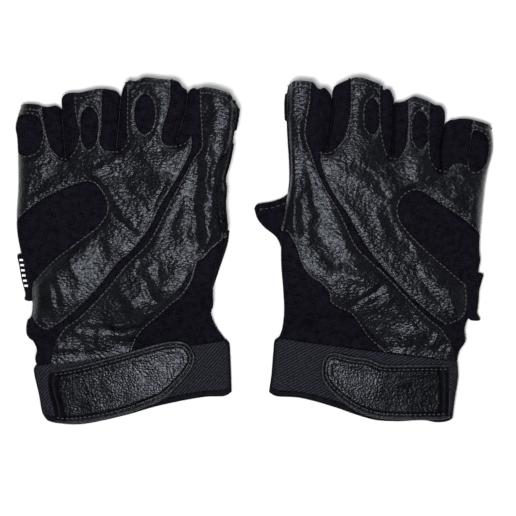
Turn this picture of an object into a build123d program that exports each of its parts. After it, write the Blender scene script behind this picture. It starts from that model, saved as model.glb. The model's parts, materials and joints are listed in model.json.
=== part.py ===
"""A pair of men's leather fingerless gloves, lying side by side with their backs up.

Each glove is a flattened tube. Stretch fabric covers its back, leather panels are sewn over that fabric with
windows left open between them, and the palm is leather with a lining. Four open finger stalls fold at the
knuckle line, an open thumb stall lies folded under the palm, and a leather tab closes over an elastic cuff.

+X runs from the left-hand glove to the right-hand one, +Y towards the fingers and +Z up. Lengths are in mm.
The pattern of a glove is drawn once, as (a, b): a across from the little-finger side to the thumb side, and b
towards the fingers. The right-hand glove mirrors it, and lies in a slightly different posture.
"""

import os
from dataclasses import dataclass
from math import atan2, cos, degrees, radians, sin, tan

from build123d import *

# Driving dimensions
GLOVE_APART = 64.0  # from the middle of the pair to the middle of each pattern
PAIR_CENTRE = (-0.525, 1.22)  # the middle of the pair's outline, which becomes the origin
TUBE_HEIGHT = 14.0  # palm to back of a glove that lies flat and empty
TUBE_ROUND = 6.4  # rounding of its two sides
TUCK_ROLL = 7.5  # degrees that the thumb folded beneath tips the hand
LEATHER = 1.2
FABRIC = 1.0
ELASTIC = 1.8
HEM_FOLD = 0.4  # how much thicker the bound hem is, inwards, than the elastic
CUFF_PRESS = 0.1  # how far the cuff's palm side is pressed flat by its own weight
SEAM_LEVEL = -2.0  # height of the side seams above the middle of the tube
REACH = 60.0  # longer than any cut has to be

# Knuckle fold: its axis lies just under the leather of the back
FOLD_BACK = 75.0
FOLD_PALM = 30.0
FOLD_AXIS_DEPTH = 1.8
FOLD_GAP = 0.2

# Thumb stall
THUMB_HEIGHT = 7.6
THUMB_WALL = 1.5
THUMB_PASSAGE = 10.0  # radius of the hole from the palm into the stall
THUMB_ROOT_RADIUS = 13.0
THUMB_RIM_WIDTH = 34.0
THUMB_EDGE_ROUND = 3.2
GUSSET_WALL = 1.2
GUSSET_GAP = 0.4
GUSSET_FRONT = 8.0  # how far behind the swing axis the gusset stops, so that the stall can swing

# Closure tab and its hook and loop patches, stacked on the cuff
LOOP_THICK = 0.8
HOOK_THICK = 0.6
HOOK_GAP = 0.3
TAB_BACKING = 1.0
PIPING_WIDTH = 1.3
PIPING_PROUD = 0.5
TAB_ROOT = -35.3  # where the tab leaves its sewn anchor
ANCHOR_LENGTH = 2.8
HINGE_GAP = 0.25

# Pattern outlines, as (a, b). The side edges of the tube, from the cuff's hem to the knuckles:
# little-finger side, thumb side, and the roll there
HEM_END = ((-41.8, -85.2), (52.8, -72.6), 0.0)
HEM_START = ((-42.4, -82.8), (53.0, -70.2), 0.0)
CUFF_TOP = ((-46.0, -52.0), (51.6, -41.5), 0.0)
WRIST = ((-49.0, -37.0), (43.8, -30.0), 4.0)
HEEL = ((-48.0, -22.0), (44.2, -18.0), TUCK_ROLL)
THUMB_ROOT = ((-52.0, -7.0), (46.4, -7.0), TUCK_ROLL)
PALM = ((-54.8, 26.0), (50.0, 28.0), TUCK_ROLL)
KNUCKLES = ((-55.3, 39.9), (53.6, 53.5), TUCK_ROLL)
HAND_STATIONS = (CUFF_TOP, WRIST, HEEL, THUMB_ROOT, PALM, KNUCKLES)
CUFF_STATIONS = (HEM_START, CUFF_TOP)
HEM_STATIONS = (HEM_END, HEM_START)

BAND_UPPER = ((33.2, 58.0), (33.0, 51.0), (28.2, 41.0), (18.8, 27.2), (12.8, 15.2), (2.8, 0.8))
BAND_UPPER_END = ((-9.2, -11.2), (-21.2, -24.2), (-32.8, -34.2), (-39.6, -39.6))
BAND_LOWER = ((39.0, 58.0), (38.0, 51.0), (33.2, 42.5), (27.2, 32.2), (21.2, 21.2), (12.2, 4.8))
BAND_LOWER_END = ((2.2, -5.2), (-9.8, -19.6), (-22.8, -32.8), (-35.2, -44.2))
TONGUE_TOP = ((-58.0, 15.0), (-52.8, 17.8), (-45.2, 23.8), (-36.8, 29.2), (-26.8, 32.8), (-18.8, 35.0))
TONGUE_LOW = ((-14.0, 33.2), (-9.8, 26.8), (-9.2, 20.5), (-13.8, 13.2), (-27.8, 1.8), (-37.8, -5.2), (-46.2, -13.8))
LITTLE_EDGE = ((-60.0, -14.5), (-60.0, -30.0), (-46.8, -32.8))
WRIST_GAP = ((43.2, 1.2), (36.8, -4.8), (34.2, -12.8), (28.8, -21.8), (19.8, -29.2), (15.8, -34.8))
WRIST_GAP_END = ((7.8, -40.2), (3.8, -50.0), (1.0, -62.0))
BEYOND_SIDE = 64.0  # past every side edge of the pattern
BEYOND_KNUCKLES = 70.0  # past the knuckle line, where the fold's gap cuts the panels off
HEEL_PATCH = ((-38.0, -26.0), (12.0, -24.0), (8.0, 2.0), (-40.0, 6.0))
TAB_CORNERS = ((25.0, -43.2), (36.2, -46.5), (34.0, -59.5), (16.0, -75.0), (-12.0, -84.6))
TAB_CORNER_RADII = (14.0, 6.5, 14.0, 26.0, 30.0)
TAB_ROOT_ENDS = (-59.2, -84.6)
LOOP_PATCH = ((-6.0, -57.0), (27.0, -51.0), (26.0, -62.0), (14.0, -70.0), (-6.0, -76.0))
HOOK_PATCH = ((8.0, -54.0), (26.0, -50.5), (26.0, -59.0), (14.0, -67.5), (8.0, -70.0))
LABEL_THICK = 0.8
LABEL_DEPTH = 5.5  # below the middle of the tube
LABEL = ((-46.0, -3.0), (-54.8, -1.5), (-54.6, -4.0), (-51.6, -19.8), (-50.9, -24.4), (-44.0, -22.0))


@dataclass
class Stall:
    """A finger stall: where it stands on the knuckle line, its rim, and the leather strip on its back."""

    name: str
    base: tuple  # the two sides on the knuckle line, as a
    rim: tuple  # the two ends of the rim, as (a, b)
    strip: tuple  # outline of the leather strip on the back
    window: tuple  # centre (a, b), width and length of the oval window, or nothing


STALLS = (
    Stall(
        "little",
        (-55.3, -31.2),
        ((-54.0, 71.5), (-33.6, 73.0)),
        ((-64.0, 30.0), (-28.0, 30.0), (-31.0, 47.0), (-40.0, 52.0), (-41.5, 80.0), (-64.0, 80.0)),
        ((-49.5, 57.8), 11.0, 19.0),
    ),
    Stall(
        "ring",
        (-30.4, -5.2),
        ((-31.6, 79.5), (-3.6, 80.5)),
        (
            (-33.0, 30.0),
            (-3.0, 30.0),
            (-5.0, 50.0),
            (-12.0, 54.0),
            (-11.0, 90.0),
            (-25.5, 90.0),
            (-25.0, 53.0),
            (-31.0, 47.0),
        ),
        ((-17.8, 61.2), 8.5, 20.0),
    ),
    Stall(
        "middle",
        (-4.4, 25.0),
        ((-1.4, 84.0), (30.8, 84.5)),
        (
            (-10.0, 30.0),
            (27.0, 30.0),
            (24.5, 53.0),
            (19.0, 56.0),
            (22.5, 95.0),
            (1.2, 95.0),
            (1.2, 54.0),
            (-9.0, 48.0),
        ),
        ((10.4, 68.8), 10.0, 19.5),
    ),
    Stall(
        "index",
        (25.8, 53.6),
        ((32.2, 81.0), (55.2, 77.0)),
        ((38.0, 30.0), (64.0, 30.0), (64.0, 90.0), (37.0, 90.0), (37.4, 58.0)),
        (),
    ),
)


@dataclass
class Glove:
    """One glove of the pair: its side, its posture and the way its thumb stall points."""

    name: str
    mirror: int  # -1 where +a runs towards -X
    posture: tuple  # shifts of the pattern at a 3 by 3 grid: rows from fingers to cuff
    thumb_root: tuple
    thumb_turn: float  # degrees outwards from +b
    thumb_length: float


LEFT = Glove("left", 1, (), (31.8, -9.4), 8.0, 22.0)
RIGHT = Glove(
    "right",
    -1,
    (
        ((-1.0, -9.0), (1.5, 0.5), (-6.0, 4.0)),
        ((3.5, -10.0), (1.0, -1.5), (-1.0, 1.5)),
        ((5.5, 1.0), (1.5, -1.0), (3.0, 0.5)),
    ),
    (36.8, 6.5),
    25.0,
    24.0,
)
PATTERN_HALF_WIDTH = 55.0
PATTERN_MIDDLE = 11.0
PATTERN_HALF_LENGTH = 75.0


def quadratic(values, t):
    """The quadratic through three values at t = -1, 0 and 1."""
    first, middle, last = values
    return first * t * (t - 1) / 2 + middle * (1 - t * t) + last * t * (t + 1) / 2


def at(glove, a, b):
    """The plan position (X, Y) of a pattern point on this glove."""
    if glove.posture:
        u = a / PATTERN_HALF_WIDTH
        v = (PATTERN_MIDDLE - b) / PATTERN_HALF_LENGTH
        shift = [quadratic([quadratic([cell[i] for cell in row], u) for row in glove.posture], v) for i in (0, 1)]
        a += shift[0]
        b += shift[1]
    return (glove.mirror * (a - GLOVE_APART) - PAIR_CENTRE[0], b - PAIR_CENTRE[1])


def section(glove, station):
    """The upright plane of a cross-section, its origin at the tube's middle, and the tube's width there."""
    little, thumb, roll = station
    start = Vector(*at(glove, *little))
    across = Vector(*at(glove, *thumb)) - start
    turn = radians(roll)
    lift = (across.length / 2 - TUBE_ROUND) * sin(turn) + (TUBE_HEIGHT / 2 - TUBE_ROUND) * cos(turn) + TUBE_ROUND
    direction = across.normalized() * cos(turn) + Vector(0, 0, sin(turn))
    plane = Plane(
        origin=start + across * 0.5 + Vector(0, 0, lift),
        x_dir=direction,
        z_dir=across.cross(Vector(0, 0, 1)),
    )
    return plane, across.length


def tube(sections, grow):
    """The flattened tube through some cross-sections, made larger all round by grow."""
    with BuildPart() as body:
        for plane, width in sections:
            with BuildSketch(plane):
                RectangleRounded(width + 2 * grow, TUBE_HEIGHT + 2 * grow, TUBE_ROUND + grow)
        loft(ruled=True)
    return body.part


def layer(sections, outside, inside):
    """A skin of the tube between two depths under its surface."""
    with BuildPart() as skin:
        add(tube(sections, -outside))
        add(tube(sections, -inside), mode=Mode.SUBTRACT)
    return skin.part


def half_space(sections, upper):
    """All that lies above the side seams along these cross-sections, or all that lies below."""
    side = Align.MIN if upper else Align.MAX
    with BuildPart() as block:
        for plane, width in sections:
            with BuildSketch(plane):
                with Locations((0, SEAM_LEVEL)):
                    Rectangle(width + REACH / 2, REACH / 2, align=(Align.CENTER, side))
        loft(ruled=True)
    return block.part


def prism(glove, *runs, height=REACH, base=-1.0):
    """An upright block over a closed pattern outline, each run of points a curve and the runs joined straight."""
    with BuildPart() as block:
        with BuildSketch(Plane.XY.offset(base)):
            with BuildLine():
                for index, run in enumerate(runs):
                    points = [at(glove, *point) for point in run]
                    following = at(glove, *runs[(index + 1) % len(runs)][0])
                    if len(points) > 4:
                        Spline(*points)
                    else:
                        Polyline(*points)
                    Line(points[-1], following)
            make_face()
        extrude(amount=height)
    return block.part


def polygon_prism(glove, points, height=REACH, base=-1.0):
    """An upright block over a pattern outline with straight sides."""
    with BuildPart() as block:
        with BuildSketch(Plane.XY.offset(base)):
            with BuildLine():
                Polyline(*[at(glove, *point) for point in points], close=True)
            make_face()
        extrude(amount=height)
    return block.part


def cut(stock, keep=(), remove=()):
    """Stock kept only inside every solid of keep, and outside every solid of remove."""
    with BuildPart() as piece:
        add(stock)
        for solid in keep:
            add(solid, mode=Mode.INTERSECT)
        for solid in remove:
            add(solid, mode=Mode.SUBTRACT)
    return piece.part


def knuckle_plane(glove):
    return section(glove, KNUCKLES)


def fold_axis(glove):
    """A point on the knuckle fold's axis, and the axis, which runs from the little finger to the index finger."""
    plane, _ = knuckle_plane(glove)
    return plane.origin + plane.y_dir * (TUBE_HEIGHT / 2 - FOLD_AXIS_DEPTH), plane.x_dir


def fold_clearance(glove):
    """The waisted gap that lets the stalls fold back over the hand and down towards the palm."""
    point, axis = fold_axis(glove)
    plane, width = knuckle_plane(glove)
    above = FOLD_AXIS_DEPTH + LEATHER
    below = TUBE_HEIGHT
    wide_top = FOLD_GAP + above * tan(radians(FOLD_BACK / 2))
    wide_low = FOLD_GAP + below * tan(radians(FOLD_PALM / 2))
    outline = (
        (-wide_top, -above),
        (wide_top, -above),
        (FOLD_GAP, 0),
        (wide_low, below),
        (-wide_low, below),
        (-FOLD_GAP, 0),
    )
    with BuildPart() as gap:
        with BuildSketch(Plane(origin=point, x_dir=plane.z_dir, z_dir=axis)):
            Polygon(*outline, align=None)
        extrude(amount=width, both=True)
    return gap.part


def thumb_direction(glove):
    """Unit vector, in the pattern, from the thumb stall's root to its rim."""
    turn = radians(glove.thumb_turn)
    return sin(turn), cos(turn)


def thumb_plan(glove, inset, past_rim):
    """Outline of the thumb stall: a half disc about the swing axis that widens to the rim."""
    root = Vector(glove.mirror * (glove.thumb_root[0] - GLOVE_APART), glove.thumb_root[1])
    root -= Vector(*PAIR_CENTRE)
    along = Vector(glove.mirror * thumb_direction(glove)[0], thumb_direction(glove)[1])
    side = Vector(-along.Y, along.X)
    rim = root + along * (glove.thumb_length + past_rim)
    near = THUMB_ROOT_RADIUS - inset
    far = THUMB_RIM_WIDTH / 2 - inset
    with BuildLine() as outline:
        Polyline(root + side * near, rim + side * far, rim - side * far, root - side * near)
        ThreePointArc(root - side * near, root - along * near, root + side * near)
    return outline.line


def thumb_shell(glove):
    """The hollow thumb stall, closed round its root and open at its rim."""
    with BuildPart() as shell:
        with BuildSketch():
            add(thumb_plan(glove, 0, 0))
            make_face()
        extrude(amount=THUMB_HEIGHT)
        fillet(shell.faces().filter_by(Axis.Z).edges().filter_by(lambda e: not is_rim(glove, e)), THUMB_EDGE_ROUND)
        with BuildSketch(Plane.XY.offset(THUMB_WALL)):
            add(thumb_plan(glove, THUMB_WALL, 2.0))
            make_face()
        extrude(amount=THUMB_HEIGHT - 2 * THUMB_WALL, mode=Mode.SUBTRACT)
    return shell.part


def is_rim(glove, edge):
    """Whether an edge runs across the thumb stall's open end."""
    along = Vector(glove.mirror * thumb_direction(glove)[0], thumb_direction(glove)[1])
    if edge.geom_type != GeomType.LINE:
        return False
    return abs((edge @ 1 - edge @ 0).normalized().dot(along)) < 0.01


def thumb_axis(glove):
    """The plan position of the thumb stall's upright swing axis."""
    a, b = glove.thumb_root
    return (glove.mirror * (a - GLOVE_APART) - PAIR_CENTRE[0], b - PAIR_CENTRE[1])


def disc(centre, radius, base, height):
    with BuildPart() as block:
        with BuildSketch(Plane.XY.offset(base)):
            with Locations(centre):
                Circle(radius)
        extrude(amount=height)
    return block.part


def oval(glove, centre, width, length):
    """An upright block over an oval window, turned with the stall that it is in."""
    bottom = Vector(*at(glove, centre[0], centre[1] - 5))
    top = Vector(*at(glove, centre[0], centre[1] + 5))
    run = top - bottom
    with BuildPart() as block:
        with BuildSketch(Plane.XY.offset(-1)):
            with Locations(Location((*at(glove, *centre), 0), (0, 0, degrees(atan2(run.Y, run.X))))):
                SlotOverall(length, width)
        extrude(amount=REACH)
    return block.part


# Sub-parts


def back_of_hand(glove, skins):
    """Stretch fabric over the whole back, and the two leather panels sewn over it."""
    upper = half_space(skins["sections"], True)
    gap = skins["gap"]
    main = prism(
        glove,
        (*BAND_UPPER, *BAND_UPPER_END),
        LITTLE_EDGE[::-1],
        (*TONGUE_LOW[::-1], *TONGUE_TOP[::-1]),
        ((-BEYOND_SIDE, 30.0), (-BEYOND_SIDE, BEYOND_KNUCKLES), (33.2, BEYOND_KNUCKLES)),
    )
    thumb_side = prism(
        glove,
        (*BAND_LOWER, *BAND_LOWER_END),
        ((-36.0, -62.0), WRIST_GAP_END[-1]),
        (*WRIST_GAP_END[:-1][::-1], *WRIST_GAP[::-1]),
        ((BEYOND_SIDE, 2.0), (BEYOND_SIDE, BEYOND_KNUCKLES), (39.0, BEYOND_KNUCKLES)),
    )
    return {
        "back_fabric": cut(skins["fabric"], [upper], [gap]),
        "main_back_panel": cut(skins["leather"], [upper, main], [gap]),
        "thumb_side_panel": cut(skins["leather"], [upper, thumb_side], [gap]),
    }


def palm_of_hand(glove, skins):
    """Palm leather with a flush padded patch on its heel, and the lining inside it."""
    lower = half_space(skins["sections"], False)
    patch = polygon_prism(glove, HEEL_PATCH)
    passage = disc(thumb_axis(glove), THUMB_PASSAGE, -1, REACH)
    gap = skins["gap"]
    return {
        "palm_leather": cut(skins["leather"], [lower], [patch, passage, gap]),
        "heel_patch": cut(skins["leather"], [lower, patch]),
        "palm_lining": cut(skins["fabric"], [lower], [passage, gap]),
    }


def pressed(glove, stations):
    """Cross-sections of the cuff, let down so that its palm side can be cut flat at the ground."""
    sections = []
    for station in stations:
        plane, width = section(glove, station)
        lower = plane.origin - Vector(0, 0, CUFF_PRESS)
        sections.append((Plane(origin=lower, x_dir=plane.x_dir, z_dir=plane.z_dir), width))
    return sections


def cuff(glove):
    """The ribbed elastic round the wrist, in a back and a palm half, its bound hem and the loop patch on it."""
    cuff_sections = pressed(glove, CUFF_STATIONS)
    hem_sections = pressed(glove, HEM_STATIONS)
    above_ground = disc((0, 0), 4 * REACH, 0, REACH)
    wall = layer(cuff_sections, 0, ELASTIC)
    upper = half_space(cuff_sections, True)
    loop = cut(layer(cuff_sections, -LOOP_THICK, 0), [upper, polygon_prism(glove, LOOP_PATCH)])
    return {
        "cuff_elastic_back": cut(wall, [upper]),
        "cuff_elastic_palm": cut(wall, [half_space(cuff_sections, False), above_ground]),
        "cuff_binding": cut(layer(hem_sections, 0, ELASTIC + HEM_FOLD), [above_ground]),
        "loop_patch": loop,
    }


def tab_block(glove, base, height, inset=0.0):
    """An upright block over the closure tab's outline, or over that outline drawn in all round by inset."""
    corners = [at(glove, *corner) for corner in TAB_CORNERS]
    start, end = (at(glove, TAB_ROOT, b) for b in TAB_ROOT_ENDS)
    with BuildPart() as block:
        with BuildSketch(Plane.XY.offset(base)):
            with BuildLine():
                FilletPolyline(start, *corners, end, radius=list(TAB_CORNER_RADII))
                Line(end, start)
            make_face()
            if inset:
                offset(amount=-inset, kind=Kind.INTERSECTION)
        extrude(amount=height)
    return block.part


def closure_tab(glove):
    """The leather closure tab, its backing, its piped edge, its hook patch, and the anchor that it is sewn to."""
    hook_base = TUBE_HEIGHT + LOOP_THICK + HOOK_GAP
    backing_base = hook_base + HOOK_THICK
    leather_base = backing_base + TAB_BACKING
    leather_top = leather_base + LEATHER
    middle = tab_block(glove, backing_base - 1, REACH, inset=PIPING_WIDTH)
    root_edge = TAB_ROOT + PIPING_WIDTH + HINGE_GAP
    near_root = polygon_prism(
        glove,
        [(-BEYOND_SIDE, -2 * REACH), (root_edge, -2 * REACH), (root_edge, 0), (-BEYOND_SIDE, 0)],
    )
    edge = tab_block(glove, backing_base, TAB_BACKING + LEATHER + PIPING_PROUD)
    high, low = TAB_ROOT_ENDS
    anchor_outline = [
        (TAB_ROOT - ANCHOR_LENGTH, high),
        (TAB_ROOT - 2 * HINGE_GAP, high),
        (TAB_ROOT - 2 * HINGE_GAP, low),
        (TAB_ROOT - ANCHOR_LENGTH, low),
    ]
    return {
        "tab_hook": polygon_prism(glove, HOOK_PATCH, base=hook_base, height=HOOK_THICK),
        "tab_backing": tab_block(glove, backing_base, TAB_BACKING, inset=PIPING_WIDTH),
        "tab_leather": tab_block(glove, leather_base, LEATHER, inset=PIPING_WIDTH),
        "tab_piping": cut(edge, [], [middle, near_root]),
        "tab_anchor": polygon_prism(glove, anchor_outline, base=TUBE_HEIGHT, height=leather_top - TUBE_HEIGHT),
    }


def tab_axis(glove):
    """A point on the tab's peel axis, at the top of its leather, and the axis direction."""
    height = TUBE_HEIGHT + LOOP_THICK + HOOK_GAP + HOOK_THICK + TAB_BACKING + LEATHER
    high, low = (Vector(*at(glove, TAB_ROOT - HINGE_GAP, b)) for b in TAB_ROOT_ENDS)
    return (low + high) * 0.5 + Vector(0, 0, height), (high - low).normalized()


def side_label(glove, skins, neighbours):
    """A small woven label caught in the little-finger side seam."""
    plane, _ = section(glove, HEEL)
    block = polygon_prism(glove, LABEL, base=plane.origin.Z - LABEL_DEPTH, height=LABEL_THICK)
    return {"side_label": cut(block, [], [tube(skins["sections"], -LEATHER), *neighbours])}


def thumb(glove, skins):
    """The thumb stall, leather below and fabric above, and the gusset that joins it to the palm."""
    shell = thumb_shell(glove)
    centre = thumb_axis(glove)
    with BuildPart() as below:
        with BuildSketch():
            with Locations(centre):
                Rectangle(4 * REACH, 4 * REACH)
        extrude(amount=THUMB_HEIGHT / 2)
    passage = disc(centre, THUMB_PASSAGE, THUMB_HEIGHT / 2, THUMB_HEIGHT)
    along = Vector(glove.mirror * thumb_direction(glove)[0], thumb_direction(glove)[1])
    inner = THUMB_ROOT_RADIUS + GUSSET_GAP
    front = Vector(*centre) + along * REACH
    with BuildPart() as open_side:
        with BuildSketch(Plane(origin=front, x_dir=along, z_dir=(0, 0, 1))):
            Rectangle(2 * (REACH + GUSSET_FRONT), 4 * REACH)
        extrude(amount=REACH)
    collar = cut(
        disc(centre, inner + GUSSET_WALL, 0, REACH),
        [half_space(skins["sections"], False)],
        [disc(centre, inner, -1, REACH), open_side.part, tube(skins["sections"], 0)],
    )
    return {
        "thumb_leather": cut(shell, [below.part]),
        "thumb_fabric": cut(shell, [], [below.part, passage]),
        "thumb_gusset": collar,
    }


def stall_sections(glove, stall):
    """Cross-sections of a finger stall: one on the knuckle plane, and one at its rim."""
    plane, width = knuckle_plane(glove)
    sides = [(a - KNUCKLES[0][0]) / (KNUCKLES[1][0] - KNUCKLES[0][0]) * width - width / 2 for a in stall.base]
    base = Plane(
        origin=plane.origin + plane.x_dir * (sum(sides) / 2),
        x_dir=plane.x_dir,
        z_dir=plane.z_dir,
    )
    start, end = (Vector(*at(glove, *point)) for point in stall.rim)
    across = end - start
    middle = (start + end) * 0.5
    level = Vector(plane.x_dir.X, plane.x_dir.Y).normalized()
    from_hand = middle - Vector(plane.origin.X, plane.origin.Y)
    turn = radians(TUCK_ROLL)
    rim = Plane(
        origin=middle + Vector(0, 0, plane.origin.Z + tan(turn) * from_hand.dot(level)),
        x_dir=across.normalized() * cos(turn) + Vector(0, 0, sin(turn)),
        z_dir=across.cross(Vector(0, 0, 1)),
    )
    return [(base, sides[1] - sides[0]), (rim, across.length)]


def finger_stalls(glove, gap):
    """For each finger a fabric sleeve with a leather strip on its back, and one piece of palm leather for all."""
    parts = {}
    with BuildPart() as palms:
        for stall in STALLS:
            sections = stall_sections(glove, stall)
            upper = half_space(sections, True)
            leather = layer(sections, 0, LEATHER)
            fabric = layer(sections, LEATHER, LEATHER + FABRIC)
            strip = polygon_prism(glove, stall.strip)
            windows = [oval(glove, *stall.window)] if stall.window else []
            parts[f"{stall.name}_strip"] = cut(leather, [upper, strip], [gap, *windows])
            parts[f"{stall.name}_sleeve"] = cut(fabric, [upper], [gap])
            add(cut(layer(sections, 0, LEATHER + FABRIC), [half_space(sections, False)], [gap]))
    parts["finger_palms"] = palms.part
    return parts


def make_glove(glove):
    """All sub-parts of one glove, by name."""
    sections = [section(glove, station) for station in HAND_STATIONS]
    skins = {
        "sections": sections,
        "leather": layer(sections, 0, LEATHER),
        "fabric": layer(sections, LEATHER, LEATHER + FABRIC),
        "gap": fold_clearance(glove),
    }
    parts = back_of_hand(glove, skins)
    parts |= palm_of_hand(glove, skins)
    parts |= side_label(glove, skins, [parts["main_back_panel"], parts["palm_leather"]])
    parts |= cuff(glove)
    parts |= closure_tab(glove)
    parts |= thumb(glove, skins)
    parts |= finger_stalls(glove, skins["gap"])
    return parts


def write(parts):
    """Labels each sub-part and writes it to its own STEP file."""
    os.makedirs("parts", exist_ok=True)
    for name, part in parts.items():
        part.label = name
        export_step(part, f"parts/{name}.step")


def report(glove):
    """Prints the joint axes that the record repeats, in mm."""
    for name, (point, axis) in {"knuckle_fold": fold_axis(glove), "tab_peel": tab_axis(glove)}.items():
        print(glove.name, name, [round(v, 3) for v in point], [round(v, 5) for v in axis])
    print(glove.name, "thumb_swing", [round(v, 3) for v in thumb_axis(glove)])


pair = {}
for glove in (LEFT, RIGHT):
    pair |= {f"{glove.name}_{name}": part for name, part in make_glove(glove).items()}
    report(glove)
write(pair)
boxes = [part.bounding_box() for part in pair.values()]
lowest = [round(min(tuple(box.min)[i] for box in boxes), 3) for i in range(3)]
highest = [round(max(tuple(box.max)[i] for box in boxes), 3) for i in range(3)]
print("box", lowest, highest, "nodes", len(pair))
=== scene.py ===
"""Looks of a pair of leather fingerless gloves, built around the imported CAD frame.

Outlines are plan views in mm, in the row frame: +X from the left-hand glove to the right-hand one, +Y towards the
fingers, +Z up. Meshes are turned into metres when they are made. Each glove is a flattened tube: a fabric shell,
leather panels over its back with edges turned under and stitched, palm leather below, and a cuff, tab and thumb.
"""

import json
import math

import bmesh
import bpy
import numpy as np
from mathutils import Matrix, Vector, noise
from mathutils.geometry import delaunay_2d_cdt


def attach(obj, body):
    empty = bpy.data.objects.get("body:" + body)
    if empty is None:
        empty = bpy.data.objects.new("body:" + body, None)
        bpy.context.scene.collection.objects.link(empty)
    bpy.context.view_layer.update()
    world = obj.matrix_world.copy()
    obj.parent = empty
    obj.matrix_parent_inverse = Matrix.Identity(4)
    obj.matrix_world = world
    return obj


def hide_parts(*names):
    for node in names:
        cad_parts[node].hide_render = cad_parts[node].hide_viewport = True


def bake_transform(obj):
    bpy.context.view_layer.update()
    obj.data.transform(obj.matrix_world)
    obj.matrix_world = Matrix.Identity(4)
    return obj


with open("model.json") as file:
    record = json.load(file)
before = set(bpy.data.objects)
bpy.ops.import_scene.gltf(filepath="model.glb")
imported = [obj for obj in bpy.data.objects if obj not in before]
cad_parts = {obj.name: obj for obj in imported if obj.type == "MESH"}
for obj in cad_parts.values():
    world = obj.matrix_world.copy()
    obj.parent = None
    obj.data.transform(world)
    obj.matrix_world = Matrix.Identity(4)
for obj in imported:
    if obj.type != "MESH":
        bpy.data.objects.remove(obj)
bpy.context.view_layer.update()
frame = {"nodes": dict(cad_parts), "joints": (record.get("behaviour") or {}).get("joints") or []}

MM = 0.001
HALF_HEIGHT = 7.0  # half of the flattened tube
SIDE_ROUND = 6.4
LEATHER = 1.2  # thickness
FABRIC = 1.0  # thickness
ROLL = math.tan(math.radians(7.5))  # rise of the hand towards the thumb folded beneath it
LINE_STEP = 0.8

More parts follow.
